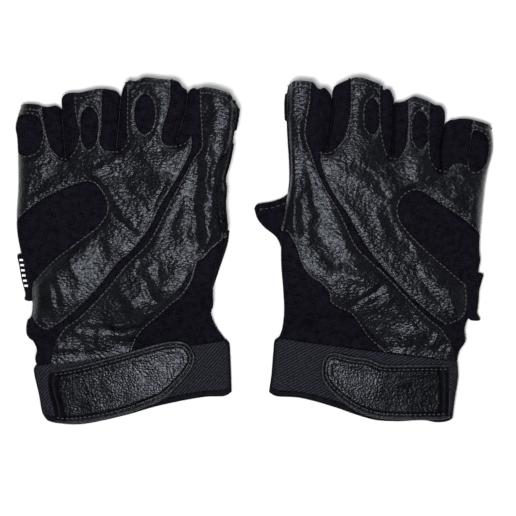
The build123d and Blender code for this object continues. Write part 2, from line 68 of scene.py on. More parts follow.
# "beyond" lines lie past the glove, so that its outline cuts the panels; rib and thumb angles are in degrees, and
# wall_sweep is how far the gusset's wall runs round the thumb, in radians.
LEFT = {
    "little_side": [(-108.2, -59), (-109.5, -55), (-108.7, -50), (-110.7, -45.7), (-112.2, -44.7), (-113.7, -42.5),
                    (-114, -39), (-113.2, -35), (-111.7, -33.7), (-111, -25.5), (-114, -12), (-118.7, 10), (-118, 35),
                    (-118.7, 56.5), (-119.5, 62), (-116.7, 72.5)],
    "little_rim": [(-116.7, 72.5), (-115, 73.2), (-108.2, 73), (-103.2, 71.5), (-98.2, 72), (-96, 70.8)],
    "little_slit": [(-95.7, 70), (-95, 58), (-94, 47)],
    "ring_rim": [(-95.4, 71.5), (-95, 76), (-93.2, 77.8), (-90.2, 78.5), (-86.2, 78.5), (-75.7, 80.3), (-68.2, 79),
                 (-66.2, 77.3)],
    "ring_slit": [(-65.9, 76), (-66.8, 64), (-68.2, 51)],
    "middle_rim": [(-65.5, 76.5), (-64.2, 80.5), (-62.2, 83.5), (-60.7, 84.3), (-58.2, 83.8), (-54.2, 85.5),
                   (-46, 84.8), (-37.2, 83.5), (-35.7, 82.3), (-34.7, 80.5), (-32.4, 78.8)],
    "middle_slit": [(-32.2, 77.5), (-33.2, 70), (-35.8, 61.5), (-38.2, 54)],
    "index_rim": [(-31.8, 78), (-31.2, 79), (-29.7, 79.8), (-27.2, 79.3), (-25.7, 80), (-22.7, 80.3), (-19.2, 79.8),
                  (-12.2, 77.5), (-10.2, 76), (-9, 73.5)],
    "thumb_side": [(-9, 73.5), (-7.5, 71.5), (-7.2, 69), (-9, 58), (-11.7, 44), (-14, 35), (-13.5, 30), (-14, 22.5),
                   (-13, 11), (-13.3, 2.5), (-15.2, -4.5), (-19.2, -14.5), (-19.7, -28), (-20.7, -31.5),
                   (-18.2, -38.5), (-13.2, -45.5)],
    "band_upper": [(-29.7, 57.5), (-30.2, 51), (-35.2, 40), (-41.2, 30), (-46.2, 21.5), (-52.2, 10), (-60.7, -0.5),
                   (-66.7, -5.5), (-77.7, -19), (-91.2, -32), (-102.7, -40.5)],
    "band_lower": [(-25.2, 51), (-27.2, 47.5), (-36.2, 31), (-42.2, 20), (-51.2, 3.5), (-61.2, -6.5), (-73.2, -21),
                   (-86.2, -34), (-93.2, -39), (-98.7, -45.5)],
    "tongue": [(-124, 11.5), (-116.2, 16.5), (-108.7, 22.5), (-96.2, 29.5), (-82.2, 33.8), (-78.2, 32.5),
               (-75.2, 29), (-73.2, 25.5), (-72.2, 21), (-73.2, 17.5), (-77.2, 12), (-89, 3), (-101.2, -6.5),
               (-109.5, -16)],
    "little_edge": [(-109.5, -16), (-110.7, -20), (-110.7, -30), (-110.2, -34), (-107.2, -38), (-102.7, -40.5)],
    "triangle": [(-9, 9), (-20.2, 0), (-23.7, -4), (-26.7, -6), (-29.2, -14), (-31.2, -18), (-34.7, -23),
                 (-40.2, -27.5), (-46.2, -33), (-55.7, -41.5), (-59.7, -49), (-62, -58)],
    "little_strip": [(-104.7, 80), (-104.7, 69), (-103.7, 62.5), (-101.7, 55), (-99.7, 50), (-96.2, 46.5)],
    "ring_left": [(-89.2, 86), (-88.7, 69), (-86.7, 60), (-86.7, 55), (-88.7, 50), (-92, 46)],
    "ring_right": [(-74.2, 88), (-75, 60), (-75.7, 53.5), (-73.5, 49.5)],
    "middle_left": [(-62.2, 92), (-62.7, 61), (-62.2, 54), (-66, 49.5)],
    "middle_right": [(-40.2, 92), (-40.7, 72.5), (-44.2, 60), (-44.7, 55), (-43.2, 52.5), (-38.7, 51.8),
                     (-33.2, 53.5), (-29.7, 57.5)],
    "index_left": [(-26.7, 88), (-26, 70), (-25.2, 51)],
    "windows": [
        [(-120, 66), (-116, 67.5), (-109, 67.3), (-105.7, 64), (-105.2, 56), (-107.2, 50), (-112, 47.5), (-117, 48.3),
         (-120, 52)],
        [(-81.2, 71), (-77.8, 68), (-76.9, 60), (-78.4, 53), (-81.2, 50), (-84.2, 53), (-85.4, 60), (-84.6, 68)],
        [(-53.2, 77), (-49.6, 74), (-48.4, 67), (-50, 60), (-53.2, 57.5), (-56.6, 60), (-58.2, 67), (-56.8, 74)],
    ],
    "cuff_top": [(-108.9, -57.5), (-60, -51.5), (-13.2, -45)],
    "cuff_hem": [(-103.7, -85.5), (-97.2, -86.7), (-86.2, -87.2), (-63.7, -82.7), (-47.2, -78), (-23.7, -73.5),
                 (-13.7, -73), (-10.5, -71.5)],
    "cuff_little": [(-108.9, -57.5), (-110.2, -60), (-110, -62.5), (-107.6, -73), (-105.7, -82.5), (-103.7, -85.5)],
    "cuff_thumb": [(-10.5, -71.5), (-10.8, -62), (-11.2, -52.5), (-11.7, -47), (-13.2, -45)],
    "tab": [(-101.5, -60.3), (-88.7, -58.2), (-66, -52.2), (-43.7, -46), (-38.7, -45.5), (-35.2, -45.7), (-32.2, -47),
            (-30.2, -49.5), (-28.7, -53), (-29.2, -56.5), (-31.2, -60.5), (-36.2, -66.5), (-43.7, -73.5),
            (-51.2, -77), (-63.7, -81.5), (-76.2, -84.5), (-88.7, -86.2), (-99, -86.2)],
    "tab_root": [(-99, -86.2), (-99.6, -80), (-101.5, -73), (-102.6, -66), (-101.5, -60.3)],
    "thumb": {
        "outer": [(-20, -19.5), (-16.2, -8), (-12.6, 3), (-11.6, 9.8)],
        "rim": [(-11.6, 9.8), (-20, 12.2), (-32, 13.8), (-44.5, 14.2)],
        "inner": [(-44.5, 14.2), (-45.6, 4), (-45.2, -6), (-43.5, -14.5)],
        "root": [(-43.5, -14.5), (-38.5, -21.5), (-31.7, -23.8), (-25, -22.8), (-20, -19.5)],
    },
    "heel": [(-101, -25), (-78, -26), (-52, -25), (-50.5, -12), (-56, 0), (-78, 4), (-102, 5), (-103.5, -10)],
    "fold": [(-9.7, 76), (-10.2, 65), (-11.2, 56), (-12.7, 50), (-15.2, 45), (-16.7, 40), (-17.7, 32.5), (-18.2, 25),
             (-17.7, 20), (-16.4, 13), (-15.2, 7.5), (-15.0, 0)],
    "label": [(-113, -1.2), (-116.2, -1.6), (-118.5, -2.5), (-117.6, -8), (-116.2, -15.5), (-114.6, -22.5),
              (-114.9, -25), (-110.5, -25.2)],
    "label_edge": [(-118.5, -2.5), (-117.6, -8), (-116.2, -15.5), (-114.6, -22.5)],
    "beyond_little": -126.0,
    "beyond_thumb": 4.0,
    "under_cuff": [(-102, -62), (-62, -62)],
    "rib_angle": 48.0,
    "thumb_lean": 8.0,
    "wall_sweep": 0.85,
    # (points, height, width): ridges rise and creases sink across a bell of that half-width
    "creases": [
        ([(-63, 56.2), (-55, 55), (-45.5, 56)], 0.7, 0.7),
        ([(-30, 44), (-35, 25), (-40, 10)], -1.6, 5.0),
        ([(-18.5, 76), (-17, 58)], 1.4, 3.4),
        ([(-101, -22), (-94, -12), (-86, -3)], 2.2, 7.5),
        ([(-66, -34), (-58, -28)], 2.6, 8.5),
        ([(-40, -19), (-37, -13)], 2.0, 7.0),
        ([(-50, 36), (-44, 30)], 1.6, 8.0),
        ([(-22.5, 50), (-22.2, 25), (-22.2, 0)], 2.1, 2.9),
        ([(-27.5, 42), (-28.5, 20), (-28, 8)], -1.5, 2.4),
        ([(-30, 10), (-25.5, 3)], -1.3, 3.2),
        ([(-76, 25), (-69, 18), (-61, 10), (-53.5, 5)], -1.0, 1.2),
        ([(-74, 29), (-66, 21), (-58, 14)], 0.7, 1.6),
        ([(-91, 42.5), (-84, 42), (-76.5, 41)], -1.0, 1.5),
        ([(-79, 37.5), (-73, 41), (-68, 44.5)], 0.8, 1.5),
        ([(-70, 36.5), (-54, 37), (-38, 39)], -0.9, 3.0),
        ([(-72, 4), (-66, -1), (-61, -6)], 1.2, 3.8),
        ([(-56, -6), (-47, -6), (-39, -5.5)], -0.7, 1.0),
        ([(-46.5, -7), (-46, -17)], -0.7, 1.1),
        ([(-56.5, -12), (-52, -18), (-47.5, -25)], -0.9, 1.3),
        ([(-52, -9), (-48.5, -15), (-44, -21)], 0.7, 1.6),
        ([(-86, -39.5), (-70, -40.5), (-56, -40)], -1.1, 1.3),
        ([(-96, -49), (-84, -48), (-72, -46)], 1.1, 2.6),
        ([(-66, -20), (-60, -28), (-58, -36)], 0.8, 2.2),
        ([(-98, 38), (-108, 30), (-113, 22)], -0.6, 1.8),
        ([(-100, 44), (-110, 38), (-116, 34)], 0.5, 1.6),
        ([(-54, 45), (-48, 40), (-44, 33)], 0.6, 2.0),
        ([(-62, 30), (-55, 24), (-50, 16)], -0.6, 1.6),
        ([(-104, -12), (-98, -20), (-96, -30)], -0.6, 1.8),
        ([(-90, -8), (-86, -16), (-88, -26)], 0.6, 2.2),
        ([(-25, 60), (-18, 58), (-11, 60)], -0.5, 1.1),
        ([(-25, 54), (-18, 51.5), (-12, 53)], 0.6, 1.4),
        ([(-26, 36), (-21, 34), (-15.5, 35)], -0.5, 0.9),
        ([(-25, 29), (-20, 27.5), (-15.5, 28)], -0.45, 0.8),
        ([(-26, 18), (-21, 17), (-15.5, 18.5)], -0.45, 0.8),
    ],
}
RIGHT = {
    "thumb_side": [(17.8, 81.5), (17.3, 78), (16.8, 73), (17.2, 60), (18.3, 35), (16.6, 22.5), (14.3, 10), (14.2, 2),
                   (14.3, -7.5), (15.3, -20), (15.8, -31.5), (14.8, -40), (13.3, -44)],
    "index_rim": [(17.8, 81.5), (19.3, 82.8), (21.8, 83.5), (29.3, 83), (30.8, 82), (32.3, 80), (33.8, 79.5),
                  (34.8, 80.1), (36.3, 79.8), (39.3, 76.5)],
    "middle_slit": [(39.5, 75.5), (39.8, 67.5), (38.4, 58), (36.8, 50)],
    "middle_rim": [(39.9, 77), (40.3, 80), (41.3, 81.3), (48.8, 84.9), (51.3, 85.5), (54.8, 85.4), (59.5, 83.8),
                   (63.8, 82), (65.3, 79.5), (66.8, 80), (68.3, 79.5), (70.6, 75)],
    "ring_slit": [(70.9, 72.5), (70.6, 60), (70, 47.5)],
    "ring_rim": [(71.3, 73.3), (74.8, 73.8), (80.3, 76.5), (82.8, 76), (87, 74.5), (91.3, 72.3), (93.8, 72),
                 (95.8, 69.5), (96.3, 65)],
    "little_slit": [(96.5, 62), (94.8, 54), (94.3, 47), (94.8, 41)],
    "little_rim": [(96.9, 63), (98.3, 64.5), (100.3, 65), (103.8, 65.7), (108.8, 65.5), (116.8, 63.5), (119.3, 62.5),
                   (120.3, 61)],
    "little_side": [(120.3, 61), (121, 55), (120.8, 49), (117.8, 37.5), (115.6, 20), (114.3, 0), (114.8, -5),
                    (113.8, -11), (113.8, -25), (112.8, -31.5), (108.3, -35), (106.8, -40), (107.2, -46),
                    (104.2, -51), (103, -56)],
    "band_upper": [(33, 49.5), (34.3, 42.5), (37.8, 33), (42.8, 24.5), (47.8, 17.5), (53.8, 7), (59.8, -2),
                   (75.3, -19.5), (86, -29), (96.8, -38)],
    "band_lower": [(29.8, 88), (28.4, 72), (26.8, 64.5), (26.3, 56), (29.3, 46), (32.3, 37.5), (36.3, 29),
                   (41.8, 20.5), (46.5, 11), (51.3, 1.5), (59.3, -6.5), (67.8, -14), (78, -25), (87.8, -34.5),
                   (93.8, -39), (99, -45)],
    "tongue": [(122, 3.5), (114.3, 8), (104.8, 15.5), (95, 22), (85.8, 28), (82.3, 29.3), (78.8, 28.8), (74.8, 26),
               (72.5, 21), (73.3, 15.5), (77.8, 9), (83.3, 3.3), (95, -7), (106.8, -17)],
    "little_edge": [(106.8, -17), (107.3, -22), (107.3, -28), (105.8, -33), (101.8, -36), (96.8, -38)],
    "triangle": [(9, 9), (16.3, 9), (21.8, 0.5), (23.8, -6), (28.3, -13), (33.8, -16.5), (37.8, -21.5),
                 (38.2, -25.5), (41.8, -28.5), (48.8, -32), (57.8, -44), (66.8, -52.5), (69, -58)],
    "little_left": [(111.8, 74), (109.8, 64), (108.8, 54), (108.3, 47.5), (106.8, 42.5)],
    "ring_left": [(76.8, 84), (77, 60), (75.8, 51), (72.8, 46)],
    "ring_right": [(88.8, 84), (88.8, 48), (89.8, 44)],
    "middle_left": [(48.3, 92), (48.3, 69), (47.3, 62.5), (44.8, 55), (40.8, 50.2), (36.5, 48.5), (33, 49.5)],
    "middle_right": [(63.8, 90), (64.3, 60), (65.8, 52.5), (67.8, 46.5)],
    "windows": [
        [(109.8, 57), (111.3, 59.3), (113.8, 59), (116.3, 57.5), (118, 54.5), (118.3, 49), (116.8, 43.5),
         (113.8, 40), (109.6, 39.7), (108.4, 43), (108.8, 50)],
        [(83.6, 69), (86.4, 66.5), (87.6, 60), (86.4, 53), (83.6, 50.5), (80.8, 53), (79.8, 60), (80.8, 66.5)],
        [(59.4, 75), (62, 72.5), (63, 66), (62, 60), (59.4, 57.5), (56.8, 60), (55.9, 66), (56.8, 72.5)],
    ],
    "cuff_top": [(13.3, -43.8), (58, -50), (103.2, -55.5)],
    "cuff_hem": [(8.3, -71.5), (11.3, -73), (23.8, -74), (41.3, -78.7), (51.3, -82.2), (61.3, -85), (71.3, -85.7),
                 (86.3, -85.2), (91.8, -86.2), (98, -85.6), (100.8, -84.5)],
    "cuff_thumb": [(13.3, -43.8), (11.3, -45.3), (10.4, -52), (9.6, -62), (8.3, -71.5)],
    "cuff_little": [(100.8, -84.5), (102, -75), (103.6, -64), (103.2, -55.5)],
    "tab": [(98.5, -84.2), (73.8, -84.2), (61.3, -83.2), (54.8, -81.2), (47.8, -77.5), (39.8, -71), (36.8, -67.5),
            (34.8, -64), (34.3, -60), (34.8, -56), (36.3, -53), (38.3, -51.5), (41.3, -51.2), (48.8, -53),
            (57.8, -54.2), (64.8, -57), (82, -57.2), (98.5, -57.2)],
    "tab_root": [(98.5, -57.2), (98.9, -71), (98.5, -84.2)],
    "thumb": {
        "outer": [(14.8, 0.5), (12.2, 6.3), (5.7, 11.8), (2.4, 16), (0.9, 21)],
        "rim": [(0.9, 21), (2, 22.9), (9.8, 24.5), (15.3, 26.5), (18, 28.5), (24, 31), (31, 33.8)],
        "inner": [(31, 33.8), (33.8, 24), (36, 15), (38.8, 8)],
        "root": [(38.8, 8), (39.8, 1), (36.5, -4.5), (31, -7.6), (24, -7.4), (18.5, -4.5), (14.8, 0.5)],
    },
    "heel": [(101, -25), (78, -26), (54, -22), (51, -10), (55, 2), (78, 6), (101, 3), (104, -10)],
    "fold": [(19.6, 82), (18.9, 60), (19.6, 40), (18.6, 30), (17, 24), (15.8, 17), (15.3, 12)],
    "label": [(110.5, -11), (113.5, -11.2), (116.3, -12.2), (115.8, -15), (114.5, -20), (114, -26), (113.3, -31.5),
              (114.8, -35.2), (113.3, -35.7), (109, -34.6)],
    "little_web": [(89.8, 44), (91.5, 41.6), (94.3, 40.3), (97, 40.3), (100.3, 43), (103.5, 43.5), (106.8, 42.5)],
    "beyond_little": 128.0,
    "beyond_thumb": 6.0,
    "under_cuff": [(103, -62), (69, -62)],
    "rib_angle": 27.0,
    "thumb_lean": 25.0,
    "wall_sweep": 1.18,
    "creases": [
        ([(27, 46), (29, 30), (36, 12)], -1.6, 5.0),
        ([(48, -14), (66, -19)], 2.0, 7.0),
        ([(50, 42), (57, 36)], 1.8, 8.0),
        ([(84, 42), (92, 38)], 1.4, 7.0),
        ([(96, -20), (90, -12), (84, -4)], 1.8, 7.0),
        ([(80, -44), (86, -40)], 1.6, 7.0),
        ([(33, 10), (37, 2), (42, -7)], -1.6, 3.6),
        ([(45, -13), (57, -15), (69, -20)], 1.3, 3.4),
        ([(48.8, -29), (53.8, -25), (58.8, -21.5), (63.8, -19), (68.8, -17)], -1.4, 1.1),
        ([(52, -33), (60, -28), (68, -25)], 0.8, 2.0),
        ([(70, 43), (74, 46)], 0.8, 1.6),
        ([(76, 47), (79, 50)], 0.6, 1.4),
        ([(88, 35), (93, 37), (99, 35)], 0.6, 1.0),
        ([(88, 31.5), (93, 33.5), (99, 31.5)], -0.6, 0.9),
        ([(97, -21), (101, -27), (102, -33)], 0.9, 2.2),
        ([(89, -47), (95, -41)], 1.0, 1.6),
        ([(92, -49), (97, -46)], -1.0, 2.0),
        ([(20, 25), (20.2, 12), (20.4, 0)], 1.2, 1.9),
        ([(24.5, 26), (25, 12), (24.5, 4)], -0.8, 1.5),
        ([(24, 62), (27, 50), (29, 40)], 0.6, 2.2),
        ([(20, 58), (22, 45), (24, 34)], -0.6, 1.5),
        ([(45, 40), (53, 34), (60, 27)], 0.7, 2.4),
        ([(52, 42), (60, 36), (66, 27)], -0.7, 1.5),
        ([(58, 46), (66, 40), (70, 33)], 0.5, 1.7),
        ([(104, 38), (110, 30), (112, 20)], 0.6, 2.0),
        ([(98, 28), (104, 24), (110, 24)], -0.5, 1.3),
        ([(62, 15), (66, 5), (72, -4)], 0.6, 2.4),
        ([(66, 20), (71, 9), (78, 1)], -0.5, 1.6),
        ([(80, -8), (86, -18), (94, -26)], -0.7, 1.7),
        ([(36, -2), (44, -12), (50, -18)], -0.5, 1.2),
        ([(72, -28), (78, -36), (84, -44)], 0.8, 2.2),
    ],
}


# Plane geometry


def curve(points, step=LINE_STEP):
    """A smooth line through the points, as an array with a point about every step."""
    p = np.array(points, float)
    padded = np.vstack([2 * p[0] - p[1], p, 2 * p[-1] - p[-2]])
    line = []
    for a, b, c, d in zip(padded, padded[1:], padded[2:], padded[3:]):
        knots = [0.0]
        for start, end in ((a, b), (b, c), (c, d)):
            knots.append(knots[-1] + math.sqrt(np.linalg.norm(end - start)) + 1e-9)
        t0, t1, t2, t3 = knots
        count = max(1, round(np.linalg.norm(c - b) / step))
        t = np.linspace(t1, t2, count, endpoint=False)[:, None]
        ab = (t1 - t) / (t1 - t0) * a + (t - t0) / (t1 - t0) * b
        bc = (t2 - t) / (t2 - t1) * b + (t - t1) / (t2 - t1) * c
        cd = (t3 - t) / (t3 - t2) * c + (t - t2) / (t3 - t2) * d
        abc = (t2 - t) / (t2 - t0) * ab + (t - t0) / (t2 - t0) * bc
        bcd = (t3 - t) / (t3 - t1) * bc + (t - t1) / (t3 - t1) * cd
        line.append((t2 - t) / (t2 - t1) * abc + (t - t1) / (t2 - t1) * bcd)
    return np.vstack(line + [p[-1:]])


def straight(points, step=LINE_STEP):
    """Straight runs between the points, divided at about every step."""
    line = []
    for a, b in zip(points, points[1:]):
        count = max(1, round(math.dist(a, b) / step))
        line += [np.array(a) + (np.array(b) - np.array(a)) * i / count for i in range(count)]
    return np.array(line + [np.array(points[-1], float)])


def closed_curve(points, step=LINE_STEP):
    """A smooth closed line through the points, which doesn't repeat its first point."""
    whole = curve([*points[-2:], *points, *points[:2]], step)
    half = len(whole) // 2
    from_start = np.linalg.norm(whole - points[0], axis=1)
    return whole[np.argmin(from_start[:half]) : half + np.argmin(from_start[half:])]


def looped(ring):
    """A closed line with its first point repeated at its end."""
    return np.vstack([ring, ring[:1]])


def chain(*lines):
    """One closed outline from lines that follow each other, without double points."""
    points = np.vstack(lines)
    return points[np.linalg.norm(points - np.roll(points, 1, axis=0), axis=1) > 0.05]


def distance(points, lines):
    """Distance in mm from each point to the nearest of some lines."""
    best = np.full(len(points), 1e9)
    for line in lines:
        for a, b in zip(line, line[1:]):
            run = b - a
            length = max(run @ run, 1e-12)
            t = np.clip(((points - a) @ run) / length, 0, 1)
            offset = points - a - t[:, None] * run
            best = np.minimum(best, (offset * offset).sum(axis=1))
    return np.sqrt(best)


def inside(points, outline):
    """Whether each point lies in a closed outline."""
    x, y = points[:, 0], points[:, 1]
    odd = np.zeros(len(points), bool)
    for (x0, y0), (x1, y1) in zip(outline, np.roll(outline, -1, axis=0)):
        crosses = (y0 > y) != (y1 > y)
        with np.errstate(divide="ignore", invalid="ignore"):
            odd ^= crosses & (x < (x1 - x0) * (y - y0) / (y1 - y0) + x0)
    return odd


def grid(outline, along, across, angle=0.0):
    """Points in staggered rows over an outline's box, rows turned by an angle in degrees."""
    turn = math.radians(angle)
    u, v = np.array([math.cos(turn), math.sin(turn)]), np.array([-math.sin(turn), math.cos(turn)])
    pu, pv = outline @ u, outline @ v
    rows = np.arange(pv.min(), pv.max(), across)
    points = []
    for i, row in enumerate(rows):
        shift = along * (i % 2) / 2
        columns = np.arange(pu.min() + shift, pu.max(), along)
        points.append(columns[:, None] * u + row * v)
    return np.vstack(points)


def normals(line):
    """Unit directions to the left of a line, at each of its points."""
    run = np.gradient(line, axis=0)
    run /= np.linalg.norm(run, axis=1)[:, None] + 1e-9
    return np.stack([-run[:, 1], run[:, 0]], axis=1)


def rings(line, offsets, closed=False):
    """Points on both sides of a line at some distances from it."""
    if closed:
        line = looped(line)
    normal = normals(line)
    points = []
    for offset in offsets:
        for side in (-1, 1):
            ring = line + normal * side * offset
            points.append(ring[distance(ring, [line]) > offset * 0.93])
    return np.vstack(points)


def triangulate(outlines, points):
    """Triangles over the points, with the closed outlines among their edges."""
    vertices, edges = [], []
    for outline in outlines:
        start = len(vertices)
        vertices += [tuple(p) for p in outline]
        edges += [(start + i, start + i + 1) for i in range(len(outline) - 1)]
        edges.append((len(vertices) - 1, start))
    vertices = [Vector(v) for v in vertices + [tuple(p) for p in points]]
    found, _, faces, *_ = delaunay_2d_cdt(vertices, edges, [], 0, 1e-4)
    return np.array([tuple(v) for v in found]), np.array([f for f in faces if len(f) == 3])


def pick(points, triangles, chosen):
    """Only the chosen triangles, and the points that they use."""
    triangles = triangles[chosen]
    used, renumbered = np.unique(triangles, return_inverse=True)
    return points[used], renumbered.reshape(triangles.shape)


def sheet(outline, spacing, lines, gap, extra=(), angle=0.0, cuts=()):
    """Points and triangles that fill an outline: rows that stay a gap away from some lines, and extra points there."""
    fill = grid(outline, *spacing, angle)
    fill = thin(fill[inside(fill, outline)], lines, gap)
    if extra:
        more = np.vstack(extra)
        fill = np.vstack([fill, more[inside(more, outline)]])
    points, triangles = triangulate([outline, *cuts], fill)
    return pick(points, triangles, inside(points[triangles].mean(axis=1), outline))


def two_sided(points, high, low, triangles):
    """Vertices and triangles of a closed skin that has the same plan above and below."""
    vertices = np.vstack([np.column_stack([points, high]), np.column_stack([points, low])])
    return vertices, np.vstack([triangles, triangles[:, ::-1] + len(points)])


def toward(line, other, gap):
    """A line moved a little towards another one, with its ends left where they are."""
    nearest = np.array([other[np.argmin(((other - p) ** 2).sum(axis=1))] for p in line])
    way = nearest - line
    apart = np.linalg.norm(way, axis=1)[:, None]
    from_ends = np.minimum(*(np.linalg.norm(line - end, axis=1) for end in (line[0], line[-1])))[:, None]
    return line + way / (apart + 1e-9) * np.minimum(gap, apart / 4) * smoothstep(1, 8, from_ends)


def thin(points, lines, gap):
    """The points that are further than gap from every line."""
    return points[distance(points, lines) > gap]


def smoothstep(a, b, x):
    """Rises smoothly from 0 at a to 1 at b; a may be the larger."""
    t = np.clip((x - a) / (b - a), 0, 1)
    return t * t * (3 - 2 * t)


def bell(x, width):
    """1 at x = 0, and falling off within about the width on both sides."""
    return np.exp(-((x / width) ** 2))


def quarter(d, radius):
    """Rises from 0 at d = 0 to 1 at d = radius, as a quarter circle does."""
    t = 1 - np.clip(d / radius, 0, 1)
    return np.sqrt(np.clip(1 - t * t, 0, 1))


def field(points, size, octaves, seed, ridged=False):
    """Smooth noise over the plan, about -1 to 1."""
    values = np.zeros(len(points))
    amplitude, total = 1.0, 0.0
    for octave in range(octaves):
        scale = 2.0**octave / size
        layer = np.array([noise.noise(Vector((x * scale + seed, y * scale - seed, seed * 1.7))) for x, y in points])
        values += amplitude * ((1 - 2 * np.abs(layer)) if ridged else layer)
        total += amplitude
        amplitude *= 0.5
    return values / total


# Meshes


def make(name, vertices, faces, smooth=True):
    """A mesh object from vertices in mm."""
    mesh = bpy.data.meshes.new(name)
    mesh.from_pydata([tuple(v * MM) for v in vertices], [], [tuple(int(i) for i in f) for f in faces])
    mesh.validate()
    obj = bpy.data.objects.new(name, mesh)
    bpy.context.collection.objects.link(obj)
    mesh.polygons.foreach_set("use_smooth", [smooth] * len(mesh.polygons))
    return obj


def store(obj, name, values):
    """A number at each vertex, which a material can read by name."""
    obj.data.attributes.new(name, "FLOAT", "POINT").data.foreach_set("value", values)


def tidy(obj, merge):
    """Merges doubles and makes the normals agree."""
    bm = bmesh.new()
    bm.from_mesh(obj.data)
    bmesh.ops.remove_doubles(bm, verts=bm.verts, dist=merge)
    bmesh.ops.recalc_face_normals(bm, faces=bm.faces)
    bm.to_mesh(obj.data)
    bm.free()


def thicken(obj, thickness, offset=-1.0):
    """Gives a sheet its thickness in mm, on the inner side of its normals when offset is -1."""
    modifier = obj.modifiers.new("thickness", "SOLIDIFY")
    modifier.thickness = thickness * MM
    modifier.offset = offset
    modifier.use_rim = True
    apply(obj)


def apply(obj):
    """Replaces the mesh with what its modifiers make of it."""
    graph = bpy.context.evaluated_depsgraph_get()
    mesh = bpy.data.meshes.new_from_object(obj.evaluated_get(graph))
    obj.modifiers.clear()
    old = obj.data
    obj.data = mesh
    bpy.data.meshes.remove(old)
    mesh.name = obj.name


# Materials


def material(name, colour, roughness, specular=0.5, sheen=0.0):
    """A Principled material, and its node tree and shader for more nodes."""
    mat = bpy.data.materials.new(name)
    mat.use_nodes = True
    tree = mat.node_tree
    shader = tree.nodes["Principled BSDF"]
    shader.inputs["Base Color"].default_value = (*colour, 1)
    shader.inputs["Roughness"].default_value = roughness
    shader.inputs["Specular IOR Level"].default_value = specular
    shader.inputs["Sheen Weight"].default_value = sheen
    shader.inputs["Sheen Roughness"].default_value = 0.5
    return mat, tree, shader


def node(tree, kind, values=None, links=None, **settings):
    """A shader node with its settings, and with values and links for its inputs by name or number."""
    made = tree.nodes.new(f"ShaderNode{kind}")
    for key, value in settings.items():
        setattr(made, key, value)
    for key, value in (values or {}).items():
        made.inputs[key].default_value = value
    for key, socket in (links or {}).items():
        tree.links.new(socket, made.inputs[key])
    return made


def coordinates(tree):
    """Coordinates that stay with the piece."""
    return node(tree, "TexCoord").outputs["Object"]


def noise_node(tree, where, scale, detail=4.0, rough=0.55):
    """Noise from 0 to 1, with scale cells to the metre."""
    values = {"Scale": scale, "Detail": detail, "Roughness": rough}
    return node(tree, "TexNoise", values, {"Vector": where}).outputs["Fac"]


def ramp(tree, factor, low, high, a=0.35, b=0.65):
    """Colour that runs from low to high as the factor goes from a to b."""
    made = node(tree, "ValToRGB", links={"Fac": factor})
    for element, place, colour in zip(made.color_ramp.elements, (a, b), (low, high)):
        element.position = place
        element.color = (*colour, 1)
    return made.outputs["Color"]


def span(tree, factor, low, high):
    """A number that runs from low to high as the factor goes from 0 to 1."""
    return node(tree, "MapRange", {"To Min": low, "To Max": high}, {"Value": factor}).outputs["Result"]


def mapped(tree, where, **values):
    """Coordinates that are turned or scaled."""
    return node(tree, "Mapping", values, {"Vector": where}).outputs["Vector"]


def bump(tree, shader, layers):
    """Bump layers of (height, strength, distance in mm), the first the deepest."""
    links = {}
    for height, strength, depth in layers:
        made = node(tree, "Bump", {"Strength": strength, "Distance": depth * MM}, {"Height": height, **links})
        links = {"Normal": made.outputs["Normal"]}
    tree.links.new(links["Normal"], shader.inputs["Normal"])


def leather(name, low, high, roughness, grain=1.0, cell=1.1, stretch=0.6, creasing=1.0, shine=0.25):
    """Pebbled leather: domes of about cell mm, drawn out along X, with fine folds, pores and uneven polish."""
    mat, tree, shader = material(name, low, roughness, specular=shine)
    shader.inputs["Specular Tint"].default_value = (0.8, 0.86, 1.0, 1)
    where = coordinates(tree)
    tree.links.new(ramp(tree, noise_node(tree, where, 90), low, high), shader.inputs["Base Color"])
    polish = noise_node(tree, where, 150, 5)
    tree.links.new(span(tree, polish, roughness - 0.06, roughness + 0.1), shader.inputs["Roughness"])
    shift = node(tree, "TexNoise", {"Scale": 420}, {"Vector": where}).outputs["Color"]
    warped = node(tree, "VectorMath", {1: (0.0011, 0.0011, 0.0011)}, {0: shift, 2: where}, operation="MULTIPLY_ADD")
    drawn = mapped(tree, warped.outputs["Vector"], Scale=(stretch, 1.0, 0.8))
    cells = {"Smoothness": 0.35, "Scale": 1 / (cell * MM)}
    pebbles = node(tree, "TexVoronoi", cells, {"Vector": drawn}, feature="SMOOTH_F1")
    domes = span(tree, pebbles.outputs["Distance"], 1.0, 0.0)
    creased = noise_node(tree, drawn, 900, 5, 0.7)
    folds = noise_node(tree, drawn, 260, 4, 0.5)
    lines = noise_node(tree, mapped(tree, where, Scale=(0.25, 1.0, 0.7), Rotation=(0, 0, 0.06)), 1300, 3, 0.6)
    pores = noise_node(tree, where, 2600, 3, 0.6)
    worn = grain * creasing
    bump(tree, shader, [(folds, 0.18 * worn, 0.5), (creased, 0.55 * worn, 0.26), (domes, 0.95 * grain, 0.27),
                        (lines, 0.7 * worn, 0.22), (pores, 0.3 * grain, 0.05)])
    return mat


